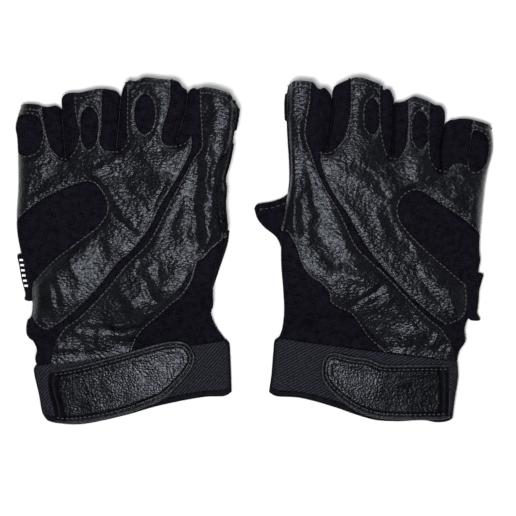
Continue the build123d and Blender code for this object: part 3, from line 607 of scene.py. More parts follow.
def cloth(name, low, high, pitch, ribbed=False, sheen=0.0):
    """Knitted or woven cloth: crossed rows of yarn, loose fibres and uneven dye, and on ribbed cloth a painted
    highlight that lightens the rib tops.
    """
    mat, tree, shader = material(name, low, 0.9, specular=0.035, sheen=sheen)
    shader.inputs["Sheen Tint"].default_value = (0.55, 0.55, 0.75, 1)
    where = coordinates(tree)
    patches = noise_node(tree, where, 350, 6, 0.7)
    wave = {"Scale": 1 / (pitch * MM) / 3.1, "Distortion": 1.6, "Detail": 2, "Detail Scale": 2.5}
    rows = [node(tree, "TexWave", wave, {"Vector": mapped(tree, where, Rotation=(0, 0, angle))}).outputs["Fac"]
            for angle in (0.18, math.pi / 2 + 0.18)]
    yarn = node(tree, "Math", links={0: rows[0], 1: rows[1]}, operation="MULTIPLY").outputs["Value"]
    dye = node(tree, "Math", {1: 0.45}, {0: yarn, 2: patches}, operation="MULTIPLY_ADD").outputs["Value"]
    colour = ramp(tree, dye, low, high, 0.4, 0.85)
    if ribbed:
        # painted highlight: where the ribs attribute marks a rib top, the colour is mixed towards a lighter blue-grey,
        # broken up by noise spots
        ribs = node(tree, "Attribute", attribute_name="ribs").outputs["Fac"]
        dots = span(tree, noise_node(tree, where, 1100, 2, 0.6), -0.7, 2.3)
        rib_highlight = node(tree, "Math", links={0: ribs, 1: dots}, operation="MULTIPLY").outputs["Value"]
        colour = node(tree, "Mix", {"B": (0.04, 0.041, 0.057, 1)}, {"Factor": rib_highlight, "A": colour},
                      data_type="RGBA").outputs["Result"]
    tree.links.new(colour, shader.inputs["Base Color"])
    fibres = noise_node(tree, where, 5200, 2, 0.7)
    bump(tree, shader, [(yarn, 0.9, 0.35), (fibres, 0.7, 0.15)])
    return mat


def thread(name, colour):
    """Twisted thread, lighter on the turns of its twist."""
    mat, tree, shader = material(name, colour, 0.55, specular=0.5, sheen=0.1)
    twist = noise_node(tree, coordinates(tree), 4200, 2)
    tree.links.new(ramp(tree, twist, colour, tuple(c * 2.2 for c in colour)), shader.inputs["Base Color"])
    bump(tree, shader, [(twist, 0.6, 0.1)])
    return mat


MATERIALS = {
    "black_leather": leather("black_leather", (0.0014, 0.0014, 0.002), (0.0032, 0.0032, 0.0046), 0.255),
    "tab": leather("tab_leather", (0.0012, 0.0012, 0.0018), (0.003, 0.003, 0.0042), 0.23, grain=0.42, cell=0.95,
                   stretch=0.85, creasing=0.3, shine=0.085),
    "palm": leather("palm_leather", (0.003, 0.003, 0.004), (0.007, 0.007, 0.009), 0.45, grain=0.7, cell=0.9),
    "suede": leather("suede_patch", (0.006, 0.006, 0.007), (0.014, 0.0135, 0.015), 0.85, grain=0.9, cell=0.4),
    "piping": leather("piping", (0.004, 0.004, 0.005), (0.009, 0.009, 0.011), 0.36, grain=0.5, cell=0.6),
    "fabric": cloth("stretch_fabric", (0.0006, 0.0006, 0.001), (0.0098, 0.0091, 0.0168), 1.25),
    "lining": cloth("lining", (0.004, 0.004, 0.005), (0.014, 0.014, 0.017), 0.6),
    "elastic": cloth("ribbed_elastic", (0.0008, 0.0008, 0.0012), (0.003, 0.003, 0.0045), 0.6, ribbed=True),
    "binding": cloth("hem_binding", (0.002, 0.002, 0.003), (0.014, 0.013, 0.02), 0.7),
    "label": cloth("label_cloth", (0.004, 0.004, 0.006), (0.012, 0.012, 0.015), 0.45),
    "loop": cloth("loop_tape", (0.003, 0.003, 0.0035), (0.010, 0.010, 0.012), 0.9, sheen=0.1),
    "thread": thread("thread", (0.02, 0.02, 0.024)),
    "mark": thread("label_marks", (0.55, 0.55, 0.57)),
}


def dress(obj, name):
    """Gives a piece its only material, and the slot that the material fills."""
    obj.data.materials.clear()
    obj.data.materials.append(MATERIALS[name])


# The gloves

EDGE_RINGS = (0.2, 0.45, 0.8, 1.1, 1.4, 1.8, 2.4, 3.0)
SIDE_RINGS = (0.1, 0.35, 0.8, 1.5, 2.4, 3.5, 4.9)
SLIT = 0.1  # half the width of the slit between two fingers
PALM_SLIT_SHIFT = 0.6  # the palm's slits lie beside the back's, so that no light comes through
SEAM = 0.8  # from a leather edge to its stitches
BAND_INSET = 0.7  # the band's edges lie this far inside its stitches
HEM = 3.0  # from a rim to the stitches of its hem
STITCH_PITCH = 2.3
STITCH_HALF = 0.85  # half the length of a stitch
CUFF_MID = 7.0  # height of the cuff's middle
CUFF_POINT = (-46.0, -52.0)  # on the cuff's top edge, from a glove's middle
CUFF_SLOPE = 0.1076
HAND_RISE = 6.0  # from the cuff's middle to the hand's
CRUMPLE = 0.22  # height of the small creases
SWELL = 1.5  # height of the broad ones
GLOVE_OFFSET = 64.0  # from the pair's middle to a glove's
PAIR_SHIFT = (0.525, -1.22)
QUILT_PITCH = 9  # of the grooves across the padded patch
PAD_SKIN = 1.0
FINGERS = ("little", "ring", "middle", "index")
HINGES = {"fingers": "knuckle_fold", "tab": "tab_peel"}
MERGE = 0.00002  # points this near each other are one, in metres
BACK_LINES = ("band_upper", "band_lower", "tongue", "little_edge", "triangle", "little_strip", "little_left",
              "ring_left", "ring_right", "middle_left", "middle_right", "index_left")


class Glove:
    """The outlines and height functions of one glove; mirror is 1 for the left-hand one and -1 for the other."""

    def __init__(self, name, mirror, shape, seed):
        self.name, self.mirror, self.shape, self.seed = name, mirror, shape, seed
        order = FINGERS if mirror > 0 else FINGERS[::-1]
        self.rims = [curve(shape[f"{f}_rim"], 0.6) for f in order]
        self.outline, self.sides = self.silhouette(0.0)
        self.palm_outline, self.palm_sides = self.silhouette(PALM_SLIT_SHIFT)
        self.windows = [closed_curve(w) for w in shape["windows"]]
        self.back, self.thumb_panel, self.cuts = self.panels()
        self.edges = self.cuts + self.rims + [looped(w) for w in self.windows]

    def silhouette(self, shift):
        """The glove's outline and its closed sides, with the slits between the fingers moved by shift."""
        little, thumb = curve(self.shape["little_side"]), curve(self.shape["thumb_side"])
        first, last = (little, thumb) if self.mirror > 0 else (thumb[::-1], little)
        slits = [curve(self.shape[f"{f}_slit"]) + (shift, 0) for f in ("little", "ring", "middle")]
        if self.mirror < 0:
            slits.reverse()
        runs, sides = [first], [first]
        for rim, slit in zip(self.rims, slits + [None]):
            runs.append(rim)
            if slit is not None:
                near, far = slit - (SLIT, 0), (slit + (SLIT, 0))[::-1]
                runs += [near, slit[-1:] - (0, SLIT), far]
                sides += [near, far]
        runs += [last, straight([last[-1], first[0]])]
        return chain(*runs), sides + [last]

    def panels(self):
        """Outlines of the two leather panels of the back, and the lines where they are cut."""
        s = self.shape
        line = {key: curve(s[key]) for key in BACK_LINES if key in s}
        upper, lower = line["band_upper"], line["band_lower"]
        line["band_upper"], line["band_lower"] = toward(upper, lower, BAND_INSET), toward(lower, upper, BAND_INSET)
        if self.mirror > 0:
            strips = ("middle_right", "middle_left", "ring_right", "ring_left", "little_strip")
            little_web = straight([s["ring_left"][-1], s["little_strip"][-1]])
            thumb = [line["index_left"], line["band_lower"]]
        else:
            strips = ("middle_left", "middle_right", "ring_left", "ring_right", "little_left")
            little_web = curve(s["little_web"])
            thumb = [line["band_lower"]]
        a, b, c, d, e = (line[key] for key in strips)
        ring_web = straight([s[strips[1]][-1], s[strips[2]][-1]])
        runs = [line["band_upper"][::-1], a[::-1], b, ring_web, c[::-1], d, little_web, e[::-1]]
        tips, tongue_start, triangle_start = (s[key][0][1] for key in ("middle_left", "tongue", "triangle"))
        beyond, past = s["beyond_little"], s["beyond_thumb"]
        beside = straight([(runs[-1][-1][0], tips), (beyond, tips), (beyond, tongue_start)])
        back = chain(*runs, beside, line["tongue"], line["little_edge"])
        panel = chain(*thumb, straight(s["under_cuff"]), line["triangle"][::-1],
                      straight([(past, triangle_start), (past, tips)]))
        return back, panel, runs + thumb + [line["tongue"], line["little_edge"], line["triangle"]]

    def covered(self, p):
        """Where the leather of the back lies."""
        windows = np.any([inside(p, w) for w in self.windows], axis=0)
        return (inside(p, self.back) | inside(p, self.thumb_panel)) & ~windows

    def pattern(self, p):
        """Across from the little-finger side, and along from the cuff's top edge."""
        a = self.mirror * (p[:, 0] - PAIR_SHIFT[0]) + GLOVE_OFFSET
        b = p[:, 1] - PAIR_SHIFT[1]
        return a, b - CUFF_SLOPE * (a - CUFF_POINT[0]) - CUFF_POINT[1]

    def middle(self, p):
        """Height of the hand's middle, which rises towards the thumb folded beneath it."""
        a, along = self.pattern(p)
        return CUFF_MID + smoothstep(0, 27, along) * (HAND_RISE + ROLL * (a + 2.4))

    def gathered(self, p):
        """How far the hand has swelled from the cuff's gathers, 0 to 1."""
        return smoothstep(-2, 9, self.pattern(p)[1])

    def top(self, p):
        """Height of the back without its seams and creases, and the distance from the sides."""
        d = distance(p, self.sides)
        _, along = self.pattern(p)
        pleats = 1.3 * field(p * (1.0, 0.45), 5.5, 2, self.seed + 8) * bell(along - 4, 5.0)
        height = HALF_HEIGHT - 1.3 + 1.3 * self.gathered(p) + 0.8 * smoothstep(4, 26, d) + pleats * smoothstep(2, 8, d)
        return self.middle(p) + height * quarter(d, SIDE_ROUND), d

    def bottom(self, p, sides=None):
        """Height of the palm, and the distance from the sides."""
        d = distance(p, sides or self.sides)
        height = HALF_HEIGHT - 0.9 + 0.9 * self.gathered(p)
        wrinkle = 0.35 * field(p, 22, 2, self.seed + 5) * smoothstep(3, 9, d)
        return np.maximum(self.middle(p) - height * quarter(d, SIDE_ROUND) + wrinkle + 0.1, 0.15), d

    def wrinkles(self, p):
        """Creases as they lie in the photo, and noise for the smaller ones."""
        drift = np.stack([field(p, 24, 2, self.seed + 1), field(p, 24, 2, self.seed + 2)], axis=1)
        wobble = np.stack([field(p, 7, 2, self.seed + 21), field(p, 7, 2, self.seed + 22)], axis=1)
        bent = p + wobble * 2.6
        total = np.zeros(len(p))
        for points, height, width in self.shape["creases"]:
            line = curve(points, 1.5)
            near = np.abs(p - line.mean(axis=0)).max(axis=1) < 45
            d = distance(bent[near], [line])
            fade = 0.65 + 0.35 * field(p[near], 10, 1, self.seed + 23)
            if height > 0:
                total[near] += height * fade * bell(d, width)
            else:
                total[near] += height * fade * (np.exp(-d / width) - 0.35 * bell(d - 2.2 * width, width))
        crumple = field(p + drift * 9, 9, 4, self.seed + 3, ridged=True) - 0.45
        swell = field(p, 26, 2, self.seed + 4)
        return total + CRUMPLE * crumple + SWELL * swell

    def leather_top(self, p):
        """Height of the back's leather, with its edges turned under and its seams drawn in."""
        z, side = self.top(p)
        edge = distance(p, self.edges)
        rim = distance(p, self.rims)
        z += self.wrinkles(p) * smoothstep(0.5, 4.5, edge) * smoothstep(0.3, 4, side)
        z -= 0.7 * (1 - quarter(edge, 0.55)) + 0.25 * bell(edge - SEAM, 0.3)
        z += 0.45 * smoothstep(1.0, 3.6, edge) - 0.25 * bell(rim - HEM, 0.4)
        return z - self.fold_step(p)

    def fold_step(self, p):
        """How far the leather drops outside the fold line on the thumb side."""
        line = curve(self.shape["fold"])
        beyond = np.interp(p[:, 1], line[::-1, 1], line[::-1, 0])
        past = self.mirror * (p[:, 0] - beyond)
        within = smoothstep(line[-1, 1] - 3, line[-1, 1] + 5, p[:, 1])
        step = 1.3 * smoothstep(-0.3, 0.9, past)
        return within * (step + 0.5 * bell(past - 0.7, 0.6) - 0.35 * bell(past + 1.2, 0.9))

    def fabric_top(self, p):
        """Height of the back's fabric, which keeps below the leather where that covers it."""
        z, side = self.top(p)
        puff = 0.35 * smoothstep(0.4, 4, distance(p, self.edges))
        soft = 0.45 * field(p, 12, 3, self.seed + 6) * smoothstep(0.5, 4, side)
        rim = distance(p, self.rims)
        hem = 0.35 * smoothstep(HEM + 0.6, HEM - 0.4, rim) - 0.3 * bell(rim - HEM, 0.4)
        shown = z - 1.15 * smoothstep(0, 2.5, side) + puff + soft + hem
        return np.where(self.covered(p), np.minimum(shown, self.leather_top(p) - LEATHER - 0.35), shown)

    def attach(self, obj, part):
        """Leaves a piece on the fingers or the tab unattached, with its placement baked into its mesh, or else lets it
        ride on its part.
        """
        if part in HINGES:
            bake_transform(obj)
        else:
            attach(obj, self.body(part))

    def piece(self, name, mesh, look, slot, nodes, part, turn=None, wall=0.0, merge=MERGE, offset=-1.0, ribs=None):
        """A mesh that stands for some nodes, with its thickness and its material, attached to a part of the glove, or
        left unattached with its placement baked when it is on the fingers or the tab.
        """
        obj = make(self.body(name), *mesh)
        # ribs holds the strength of the painted rib-top highlight, which the material reads
        if ribs is not None:
            store(obj, "ribs", ribs)
        tidy(obj, merge)
        if turn:
            turn(obj)
        if wall:
            thicken(obj, wall, offset)
        dress(obj, look)
        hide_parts(*[self.body(n) for n in nodes])
        self.attach(obj, part)
        return obj

    def body(self, part):
        """The name of a body, node or joint of this glove."""
        return f"{self.name}_{part}"


def leather_panels(glove):
    """The two leather panels of the back, each with the finger strips that are cut in one with it."""
    fill = grid(glove.outline, 0.95, 0.82)
    fill = fill[inside(fill, glove.outline)]
    fill = thin(fill[glove.covered(fill)], glove.edges, 3.2)
    fill = thin(fill, glove.sides, 1.2)
    extra = np.vstack([rings(e, EDGE_RINGS) for e in glove.edges] + [rings(s, SIDE_RINGS[:5]) for s in glove.sides])
    extra = extra[inside(extra, glove.outline)]
    outlines = [glove.outline, glove.back, glove.thumb_panel, *glove.windows]
    points, triangles = triangulate(outlines, np.vstack([fill, extra]))
    centres = points[triangles].mean(axis=1)
    solid = inside(centres, glove.outline) & glove.covered(centres)
    for key, panel, nodes in (
        ("back_leather", glove.back, ("main_back_panel", "little_strip", "ring_strip", "middle_strip")),
        ("thumb_side_leather", glove.thumb_panel, ("thumb_side_panel", "index_strip")),
    ):
        p, t = pick(points, triangles, solid & inside(centres, panel))
        mesh = np.column_stack([p, glove.leather_top(p)]), t
        glove.piece(key, mesh, "black_leather", "black_leather", nodes, "fingers", upward, LEATHER)


def upward(obj):
    """Turns the mesh so that most of its area faces up."""
    total = sum(f.normal.z * f.area for f in obj.data.polygons)
    if total < 0:
        obj.data.flip_normals()


def downward(obj):
    """Turns the mesh so that most of its area faces down."""
    upward(obj)
    obj.data.flip_normals()


def fabric_shell(glove):
    """The fabric under the leather of the back, and the lining, as one tube with four open fingers."""
    extra = [rings(s, SIDE_RINGS) for s in glove.sides] + [rings(r, (0.5, 2.0, 2.6, 3.0, 3.4)) for r in glove.rims]
    extra += [rings(e, (0.5, 1.4)) for e in glove.cuts]
    points, triangles = sheet(glove.outline, (1.5, 1.3), glove.sides, 1.0, extra)
    low, d = glove.bottom(points)
    low = low + 1.25 * smoothstep(0, 2.5, d)
    high = np.where(d < 1e-3, low, glove.fabric_top(points))
    nodes = ("back_fabric", "palm_lining", *[f"{f}_sleeve" for f in FINGERS])
    glove.piece("fabric_shell", two_sided(points, high, low, triangles), "fabric", "stretch_fabric", nodes,
                "fingers", wall=FABRIC, merge=0.00005)


def palm_skin(glove):
    """Palm leather over the whole underside, with a groove round the padded patch on its heel."""
    heel = closed_curve(glove.shape["heel"])
    ring = [looped(heel)]
    extra = [rings(s, SIDE_RINGS) for s in glove.palm_sides] + [rings(ring[0], (0.4, 0.9, 1.6))]
    points, triangles = sheet(glove.palm_outline, (1.7, 1.5), glove.palm_sides, 1.0, extra, cuts=[heel])
    low, d = glove.bottom(points, glove.palm_sides)
    padded = inside(points, heel)
    low += np.where(padded, 1.0, 0) + np.where(padded, 0, 0.5) * bell(distance(points, ring), 0.8)
    low += 0.25 * field(points, 8, 3, glove.seed + 9, ridged=True) * smoothstep(1, 6, d)
    low -= 0.3 * bell(distance(points, glove.rims) - HEM, 0.4)
    mesh = np.column_stack([points, np.maximum(low, 0.12)]), triangles
    glove.piece("palm_skin", mesh, "palm", "black_leather", ("palm_leather", "finger_palms"), "fingers",
                downward, LEATHER)

    points, triangles = sheet(heel, (1.4, 1.2), ring, 3.0, [rings(heel, EDGE_RINGS, closed=True)])
    low, _ = glove.bottom(points)
    d = distance(points, ring)
    low += 0.7 * (1 - quarter(d, 1.4)) + 0.3 * bell(d - SEAM, 0.4) - 0.05
    across = points[:, 0] * 0.8 + points[:, 1] * glove.mirror * 0.6 + 500
    quilt = 0.25 * bell(np.abs(across % QUILT_PITCH - QUILT_PITCH / 2), 0.7)
    low += quilt * smoothstep(2.5, 4, d)
    mesh = np.column_stack([points, np.maximum(low, 0.1)]), triangles
    pad = glove.piece("heel_pad", mesh, "suede", "suede_patch", ("heel_patch",), "hand", downward, PAD_SKIN)


# (place along the stitch, radius, height) of a thread's rings
STITCH_RINGS = ((-1, 0.1, -0.22), (-0.6, 0.25, 0.02), (0, 0.3, 0.1), (0.6, 0.25, 0.02), (1, 0.1, -0.22))
STITCH_SIDES = 6


def tube_faces(start, rows, sides):
    """Faces of a closed tube whose vertices go round it row by row."""
    faces = []
    for row in range(rows - 1):
        for k in range(sides):
            a, b = start + row * sides + k, start + row * sides + (k + 1) % sides
            faces.append((a, b, b + sides, a + sides))
    last = start + (rows - 1) * sides
    return faces + [tuple(range(start, start + sides))[::-1], tuple(range(last, last + sides))]


def stitches(glove, name, places, part):
    """Threads of a seam, one at each (place, direction, half length, height), sinking in at both ends."""
    vertices, faces = [], []
    up = np.array([0, 0, 1])
    for (x, y), (dx, dy), half, z in places:
        along, side = np.array([dx, dy, 0]), np.array([-dy, dx, 0])
        faces += tube_faces(len(vertices), len(STITCH_RINGS), STITCH_SIDES)
        for t, radius, lift in STITCH_RINGS:
            centre = np.array([x, y, z + lift]) + along * half * t
            for k in range(STITCH_SIDES):
                angle = k * math.pi / 3
                vertices.append(centre + radius * (side * math.cos(angle) + up * math.sin(angle)))
    obj = make(glove.body(name), np.array(vertices), faces)
    dress(obj, "thread")
    glove.attach(obj, part)


def seam_places(lines, height, accept, offset=SEAM, pitch=STITCH_PITCH, half=STITCH_HALF):
    """Places for stitches at an offset from some lines, where accept says that the leather is."""
    spots, ways = [], []
    for line in lines:
        steps = np.r_[0, np.cumsum(np.linalg.norm(np.diff(line, axis=0), axis=1))]
        at = np.arange(pitch / 2, steps[-1], pitch)
        p, ahead, behind = (np.column_stack([np.interp(at + shift, steps, line[:, i]) for i in (0, 1)])
                            for shift in (0, 0.4, -0.4))
        way = ahead - behind
        way /= np.linalg.norm(way, axis=1)[:, None] + 1e-9
        for side in (-1, 1):
            spot = p + offset * side * np.stack([-way[:, 1], way[:, 0]], axis=1)
            good = accept(spot)
            spots.append(spot[good])
            ways.append(way[good])
    spots, ways = np.vstack(spots), np.vstack(ways)
    return [(tuple(p), tuple(w), half, z) for p, w, z in zip(spots, ways, height(spots))]


def leather_seams(glove):
    """Stitches along the cut edges and round the hems of the back's leather."""

    def accept(p):
        leather = glove.covered(p) & inside(p, glove.outline)
        return leather & (distance(p, glove.edges) > SEAM * 0.9) & (distance(p, glove.sides) > 0.8)

    places = seam_places(glove.cuts + [looped(w) for w in glove.windows], glove.leather_top, accept)
    places += seam_places(glove.rims, glove.leather_top, accept, offset=HEM)
    stitches(glove, "seam_threads", places, "fingers")


CUFF_HALF = 6.45  # half of the cuff's height without its ribs
CUFF_WALL = 1.5
RIB_PITCH = 1.3
RIB_HEIGHT = 0.34
BINDING = 2.75  # width of the bound hem


def cuff(glove):
    """The elastic cuff with its diagonal ribs, a painted highlight on their tops, and its bound hem."""
    s = glove.shape
    little, thumb, hem, top = (curve(s[k]) for k in ("cuff_little", "cuff_thumb", "cuff_hem", "cuff_top"))
    outline = chain(little, hem, thumb, top[::-1]) if glove.mirror > 0 else chain(thumb, hem, little, top[::-1])
    sides = [little, thumb]
    extra = [rings(side, SIDE_RINGS) for side in sides] + [rings(hem, (0.3, 0.8, 1.4, 2.0, 2.5, 2.7, 3.0))]
    points, triangles = sheet(outline, (1.6, RIB_PITCH / 6), sides, 0.5, extra, angle=s["rib_angle"])
    turn = math.radians(s["rib_angle"])
    d = distance(points, sides)
    from_hem = distance(points, [hem])
    from_top = distance(points, [top])
    across = -points[:, 0] * math.sin(turn) + points[:, 1] * math.cos(turn)
    waves = np.abs(np.sin(math.pi * (across + 0.25 * field(points, 14, 2, glove.seed)) / RIB_PITCH))
    ribs = RIB_HEIGHT * waves**0.7
    ribs *= smoothstep(2.6, 3.2, from_hem) * smoothstep(0, 0.8, from_top) * smoothstep(0, 1.5, d)
    swell = 0.35 * field(points, 20, 2, glove.seed + 7)
    binding = 0.5 * smoothstep(2.9, 2.5, from_hem) - 0.5 * (1 - quarter(from_hem, 0.9))
    binding = binding - 0.4 * bell(from_hem - BINDING, 0.25)
    lip = -0.6 * (1 - quarter(from_top, 1.0))
    # strength of the painted highlight on each rib top, highest on the crests, stored in the ribs attribute for the
    # elastic's material
    rib_top_highlight = np.clip(ribs / RIB_HEIGHT, 0, 1) ** 2.5
    body = (CUFF_HALF + swell * 0.4 + ribs + binding + lip) * quarter(d, SIDE_ROUND)
    vertices, both = two_sided(points, CUFF_MID + body, np.maximum(CUFF_MID - body, 0.1), triangles)
    hem_part = np.tile(distance(points[triangles].mean(axis=1), [hem]) < BINDING, 2)
    for key, chosen, look, slot, nodes in (
        ("elastic_cuff", ~hem_part, "elastic", "ribbed_elastic", ("cuff_elastic_back", "cuff_elastic_palm")),
        ("hem_binding", hem_part, "binding", "ribbed_elastic", ("cuff_binding",)),
    ):
        p, t = pick(np.column_stack([vertices, np.tile(rib_top_highlight, 2)]), both, chosen)
        glove.piece(key, (p[:, :3], t), look, slot, nodes, "hand", wall=CUFF_WALL, merge=0.00004, ribs=p[:, 3])


TAB_TOP = 17.9
TAB_LOW = 15.75
TAB_CROWN = -48.0  # where the left-hand glove's tab lies highest
TAB_DROP = 1.4  # how far the tab has sunk at TAB_REACH from there
TAB_REACH = 60
TAB_SEAM = 2.3  # from the tab's edge to its stitches
TAB_RINGS = (0.15, 0.45, 0.9, 1.4, 1.9, 2.4, 3.0)


def tab(glove):
    """The closure tab: crowned leather with a piped edge, sewn down at its root."""
    free, root = curve(glove.shape["tab"]), curve(glove.shape["tab_root"])
    outline = chain(free, root)
    ring = [looped(outline)]
    points, triangles = sheet(outline, (1.0, 0.87), ring, 3.4, [rings(outline, TAB_RINGS, closed=True)])

    def bend(p):
        return TAB_DROP * ((p[:, 0] - TAB_CROWN * glove.mirror) / TAB_REACH) ** 2

    def height(p):
        d = distance(p, ring)
        lift = smoothstep(0.5, 6.0, distance(p, [root]))
        crumple = field(p * (0.55, 1.0), 6, 3, glove.seed + 11, ridged=True) - 0.45
        swell = field(p, 17, 2, glove.seed + 12)
        z = TAB_TOP - 2.6 * (1 - lift) + (0.1 * crumple + 0.35 * swell) * smoothstep(2.5, 6, d)
        return z - bend(p) - 1.5 * (1 - quarter(d, 0.9)) - 0.3 * bell(d - TAB_SEAM, 0.4) + 0.2 * bell(d - 4.2, 1.4)

    high = height(points)
    low = TAB_LOW - bend(points) - 1.3 * (1 - smoothstep(0.5, 6.0, distance(points, [root])))
    edge = distance(points, ring) < 0.02
    middle = (high + low) / 2
    high, low = np.where(edge, middle, high), np.where(edge, middle, low)
    obj = glove.piece("tab_skin", two_sided(points, high, low, triangles), "tab", "black_leather",
                      ("tab_leather", "tab_backing", "tab_anchor"), "tab")
    obj.data.materials.append(MATERIALS["lining"])
    for face in obj.data.polygons:
        if face.normal.z < -0.6:
            face.material_index = 1
    roll = tube_along(inset_line(free, outline, 0.55), height, 0.8, 8)
    glove.piece("tab_roll", roll, "piping", "piping", ("tab_piping",), "tab")

    def accept(p):
        return inside(p, outline) & (distance(p, ring) > 2.1)

    places = seam_places([free], height, accept, offset=TAB_SEAM)
    stitches(glove, "tab_threads", places, "tab")


def inset_line(line, outline, gap):
    """The line moved into the outline by a gap."""
    normal = normals(line)
    moved = line + normal * gap
    return moved if inside(moved, outline).mean() > 0.5 else line - normal * gap


def tube_along(line, height, radius, sides):
    """A round roll along a line, lying a little into the surface of a height function."""
    centres = np.column_stack([line, height(line) + 0.25])
    run = np.gradient(centres, axis=0)
    run /= np.linalg.norm(run, axis=1)[:, None]
    across = np.cross(run, (0, 0, 1))
    across /= np.linalg.norm(across, axis=1)[:, None]
    up = np.cross(across, run)
    vertices = []
    count = len(line)
    for i in range(count):
        taper = min(1.0, 0.35 + min(i, count - 1 - i) * 0.25)
        size = radius * taper * (1 + 0.06 * math.sin(i * 1.7))
        for k in range(sides):
            angle = 2 * math.pi * k / sides
            vertices.append(centres[i] + size * (across[i] * math.cos(angle) + up[i] * math.sin(angle)))
    return np.array(vertices), tube_faces(0, count, sides)


THUMB_MID = 3.8  # height of the thumb stall's middle
THUMB_HALF = 3.65
THUMB_ROUND = 3.3
THUMB_WALL = 1.1


def thumb(glove):
    """The thumb stall folded under the palm, leather below and fabric above, and the gusset round its root."""
    s = glove.shape["thumb"]
    outer, rim, inner, root = (curve(s[k]) for k in ("outer", "rim", "inner", "root"))
    outline = chain(outer, rim, inner, root)
    sides = [outer, inner, root]
    extra = [rings(side, (0.1, 0.35, 0.8, 1.5, 2.4)) for side in sides]
    extra += [rings(rim, (0.3, 0.8, 2.0, 2.5, 3.0, 3.5))]
    points, triangles = sheet(outline, (1.2, 1.05), sides, 0.9, extra)
    d = distance(points, sides)
    from_rim = distance(points, [rim])
    hem = 0.35 * smoothstep(3.2, 2.4, from_rim) - 0.45 * bell(from_rim - HEM, 0.45) - 0.5 * (1 - quarter(from_rim, 0.7))
    wrinkle = 0.4 * (field(points, 6, 3, glove.seed + 14, ridged=True) - 0.5) * smoothstep(0.5, 3, d)
    high = THUMB_MID + (THUMB_HALF - 0.35 + hem + wrinkle) * quarter(d, THUMB_ROUND)
    low = np.maximum(THUMB_MID - (THUMB_HALF - 0.1 + hem * 0.5) * quarter(d, THUMB_ROUND), 0.1)
    for key, node_name, z, look, slot, turn in (
        ("thumb_upper", "thumb_fabric", high, "fabric", "stretch_fabric", upward),
        ("thumb_lower", "thumb_leather", low, "palm", "black_leather", downward),
    ):
        mesh = np.column_stack([points, z]), triangles
        glove.piece(key, mesh, look, slot, (node_name,), "thumb", turn, THUMB_WALL)

    def height(p):
        return THUMB_MID + (THUMB_HALF - 0.7) * quarter(distance(p, sides), THUMB_ROUND)

    def accept(p):
        return inside(p, outline) & (distance(p, sides) > 1.0)

    at_rim = seam_places([rim], height, accept, offset=HEM, pitch=2.8, half=1.0)
    stitches(glove, "thumb_threads", at_rim, "thumb")
    gusset(glove)


GUSSET_ROWS = 7
GUSSET_WALL = 0.9


def gusset(glove):
    """A fabric wall behind the thumb's root, and the neck between its top and the palm."""
    x, y, _ = next(j for j in frame["joints"] if j["name"] == glove.body("thumb_swing"))["pos_m"]
    centre = np.array([x, y]) / MM
    lean = math.radians(glove.shape["thumb_lean"])
    forward = math.atan2(math.cos(lean), glove.mirror * math.sin(lean))
    vertices, faces = [], []
    for radius, start, sweep, low, columns in (
        (15.3, forward + 2.55, glove.shape["wall_sweep"], 0.5, 24),
        (10.6, 0, 2 * math.pi, 7.0, 60),
    ):
        first = len(vertices)
        for i in range(columns + 1):
            angle = start + sweep * i / columns
            pucker = 0.3 * math.sin(i * 2.1) + 0.15 * math.sin(i * 3.7)
            way = np.array([math.cos(angle), math.sin(angle)])
            base = centre + way * radius
            ceiling = glove.bottom(base[None, :])[0][0] + 0.7
            for j in range(GUSSET_ROWS):
                t = j / (GUSSET_ROWS - 1)
                belly = 0.5 * math.sin(math.pi * t)
                spot = centre + way * (radius + (pucker + belly) * math.sin(math.pi * t))
                vertices.append(np.array([*spot, low + (ceiling - low) * t]))
        for i in range(columns):
            for j in range(GUSSET_ROWS - 1):
                a = first + i * GUSSET_ROWS + j
                faces.append((a, a + GUSSET_ROWS, a + GUSSET_ROWS + 1, a + 1))
    glove.piece("gusset", (np.array(vertices), faces), "fabric", "stretch_fabric", ("thumb_gusset",), "hand",
                wall=GUSSET_WALL, offset=0)


LABEL_WALL = 0.7
BAR_PITCH = 2.6
BAR_LIFT = 0.16


def label(glove):
    """A folded woven label in the side seam, with plain bars for the marks of the left-hand one."""
    outline = closed_curve(glove.shape["label"], 0.6)
    ring = [looped(outline)]
    points, triangles = sheet(outline, (0.8, 0.7), ring, 0.5)

    def height(p):
        return 7.3 + 0.35 * np.sin(p[:, 1] * 0.35) - 0.25 * bell(distance(p, ring), 0.8)

    mesh = np.column_stack([points, height(points)]), triangles
    glove.piece("label", mesh, "label", "label_cloth", ("side_label",), "hand", upward, LABEL_WALL)
    if "label_edge" not in glove.shape:
        return
    free_edge = curve(glove.shape["label_edge"])
    vertices, faces = [], []
    for y in np.arange(free_edge[:, 1].max() - 2.5, free_edge[:, 1].min() + 2, -BAR_PITCH):
        x = np.interp(y, free_edge[::-1, 1], free_edge[::-1, 0]) + glove.mirror * 1.5
        start = len(vertices)
        corners = np.array([(x - 0.9, y - 0.5), (x + 0.9, y - 0.5), (x + 0.9, y + 0.5), (x - 0.9, y + 0.5)])
        for lift in (0.0, BAR_LIFT):
            vertices += list(np.column_stack([corners, height(corners) - 0.02 + lift]))
        faces += [tuple(start + k for k in face)
                  for face in ((4, 5, 6, 7), (0, 1, 5, 4), (1, 2, 6, 5), (2, 3, 7, 6), (3, 0, 4, 7))]
    bars = make(glove.body("label_bars"), np.array(vertices), faces, smooth=False)
    dress(bars, "mark")
    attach(bars, glove.body("hand"))


def tapes(glove):
    """The hook tape under the tab and the loop tape on the cuff keep their CAD shapes."""
    for key in ("loop_patch", "tab_hook"):
        dress(frame["nodes"][glove.body(key)], "loop")


for glove in (Glove("left", 1, LEFT, 11.3), Glove("right", -1, RIGHT, 47.9)):
    for build in (leather_panels, fabric_shell, palm_skin, leather_seams, cuff, tab, thumb, label, tapes):
        build(glove)


# Stage, light and camera


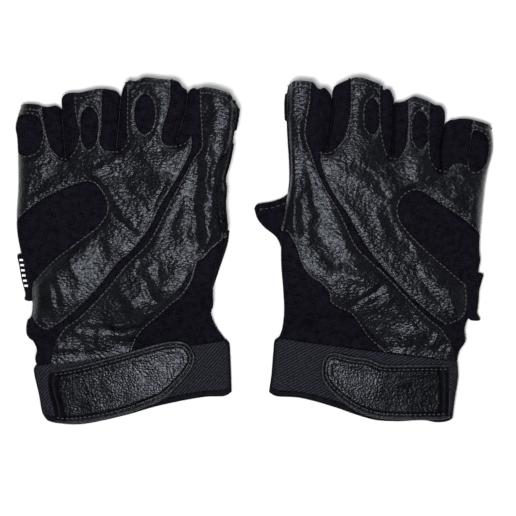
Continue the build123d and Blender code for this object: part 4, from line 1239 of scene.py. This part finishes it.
def area_light(name, place, target, size, power, colour=(1, 1, 1)):
    """A rectangular lamp that the camera doesn't see."""
    data = bpy.data.lights.new(name, "AREA")
    data.shape = "RECTANGLE"
    data.size, data.size_y = size
    data.energy = power
    data.color = colour
    obj = bpy.data.objects.new(name, data)
    obj.location = place
    obj.rotation_euler = (Vector(target) - Vector(place)).to_track_quat("-Z", "Y").to_euler()
    obj.visible_camera = False
    bpy.context.collection.objects.link(obj)


FLOOR_HALF = 3000.0  # mm


def stage():
    """A pale floor, soft lamps and an even, dim surround."""
    corners = np.array([(-1, -1, 0), (1, -1, 0), (1, 1, 0), (-1, 1, 0)]) * FLOOR_HALF
    floor = make("floor", corners, [(0, 1, 2, 3)])
    floor.data.materials.append(material("pale_floor", (0.9, 0.9, 0.9), 0.9, specular=0.1)[0])
    area_light("overhead", (-0.022, -0.045, 0.68), (-0.01, -0.03, 0), (0.09, 0.09), 4.8)
    area_light("back", (0.05, 0.62, 0.42), (0, 0.02, 0), (0.7, 0.2), 2.0, (0.96, 0.98, 1.0))
    area_light("left_side", (-0.9, 0.0, 0.4), (0, 0, 0), (0.4, 0.7), 0.6)
    area_light("right_side", (0.9, 0.0, 0.4), (0, 0, 0), (0.4, 0.7), 0.6)
    area_light("front", (0.0, -0.8, 0.4), (0, 0, 0), (0.8, 0.4), 0.6)
    world = bpy.data.worlds.new("studio")
    world.use_nodes = True
    background = world.node_tree.nodes["Background"]
    background.inputs["Color"].default_value = (1, 1, 1, 1)
    background.inputs["Strength"].default_value = 0.1
    bpy.context.scene.view_settings.view_transform = "Standard"
    bpy.context.scene.world = world


VIEW_WIDTH = 0.258  # of the plane through the gloves' backs
CAMERA_HEIGHT = 0.8
BACKS = 0.014
SENSOR = 36


def camera():
    """Straight above the pair, as in the photo."""
    data = bpy.data.cameras.new("camera")
    data.sensor_width = SENSOR
    data.lens = SENSOR * CAMERA_HEIGHT / VIEW_WIDTH
    obj = bpy.data.objects.new("camera", data)
    obj.location = (0.0028, -0.004, CAMERA_HEIGHT + BACKS)
    bpy.context.collection.objects.link(obj)
    bpy.context.scene.camera = obj


stage()
camera()
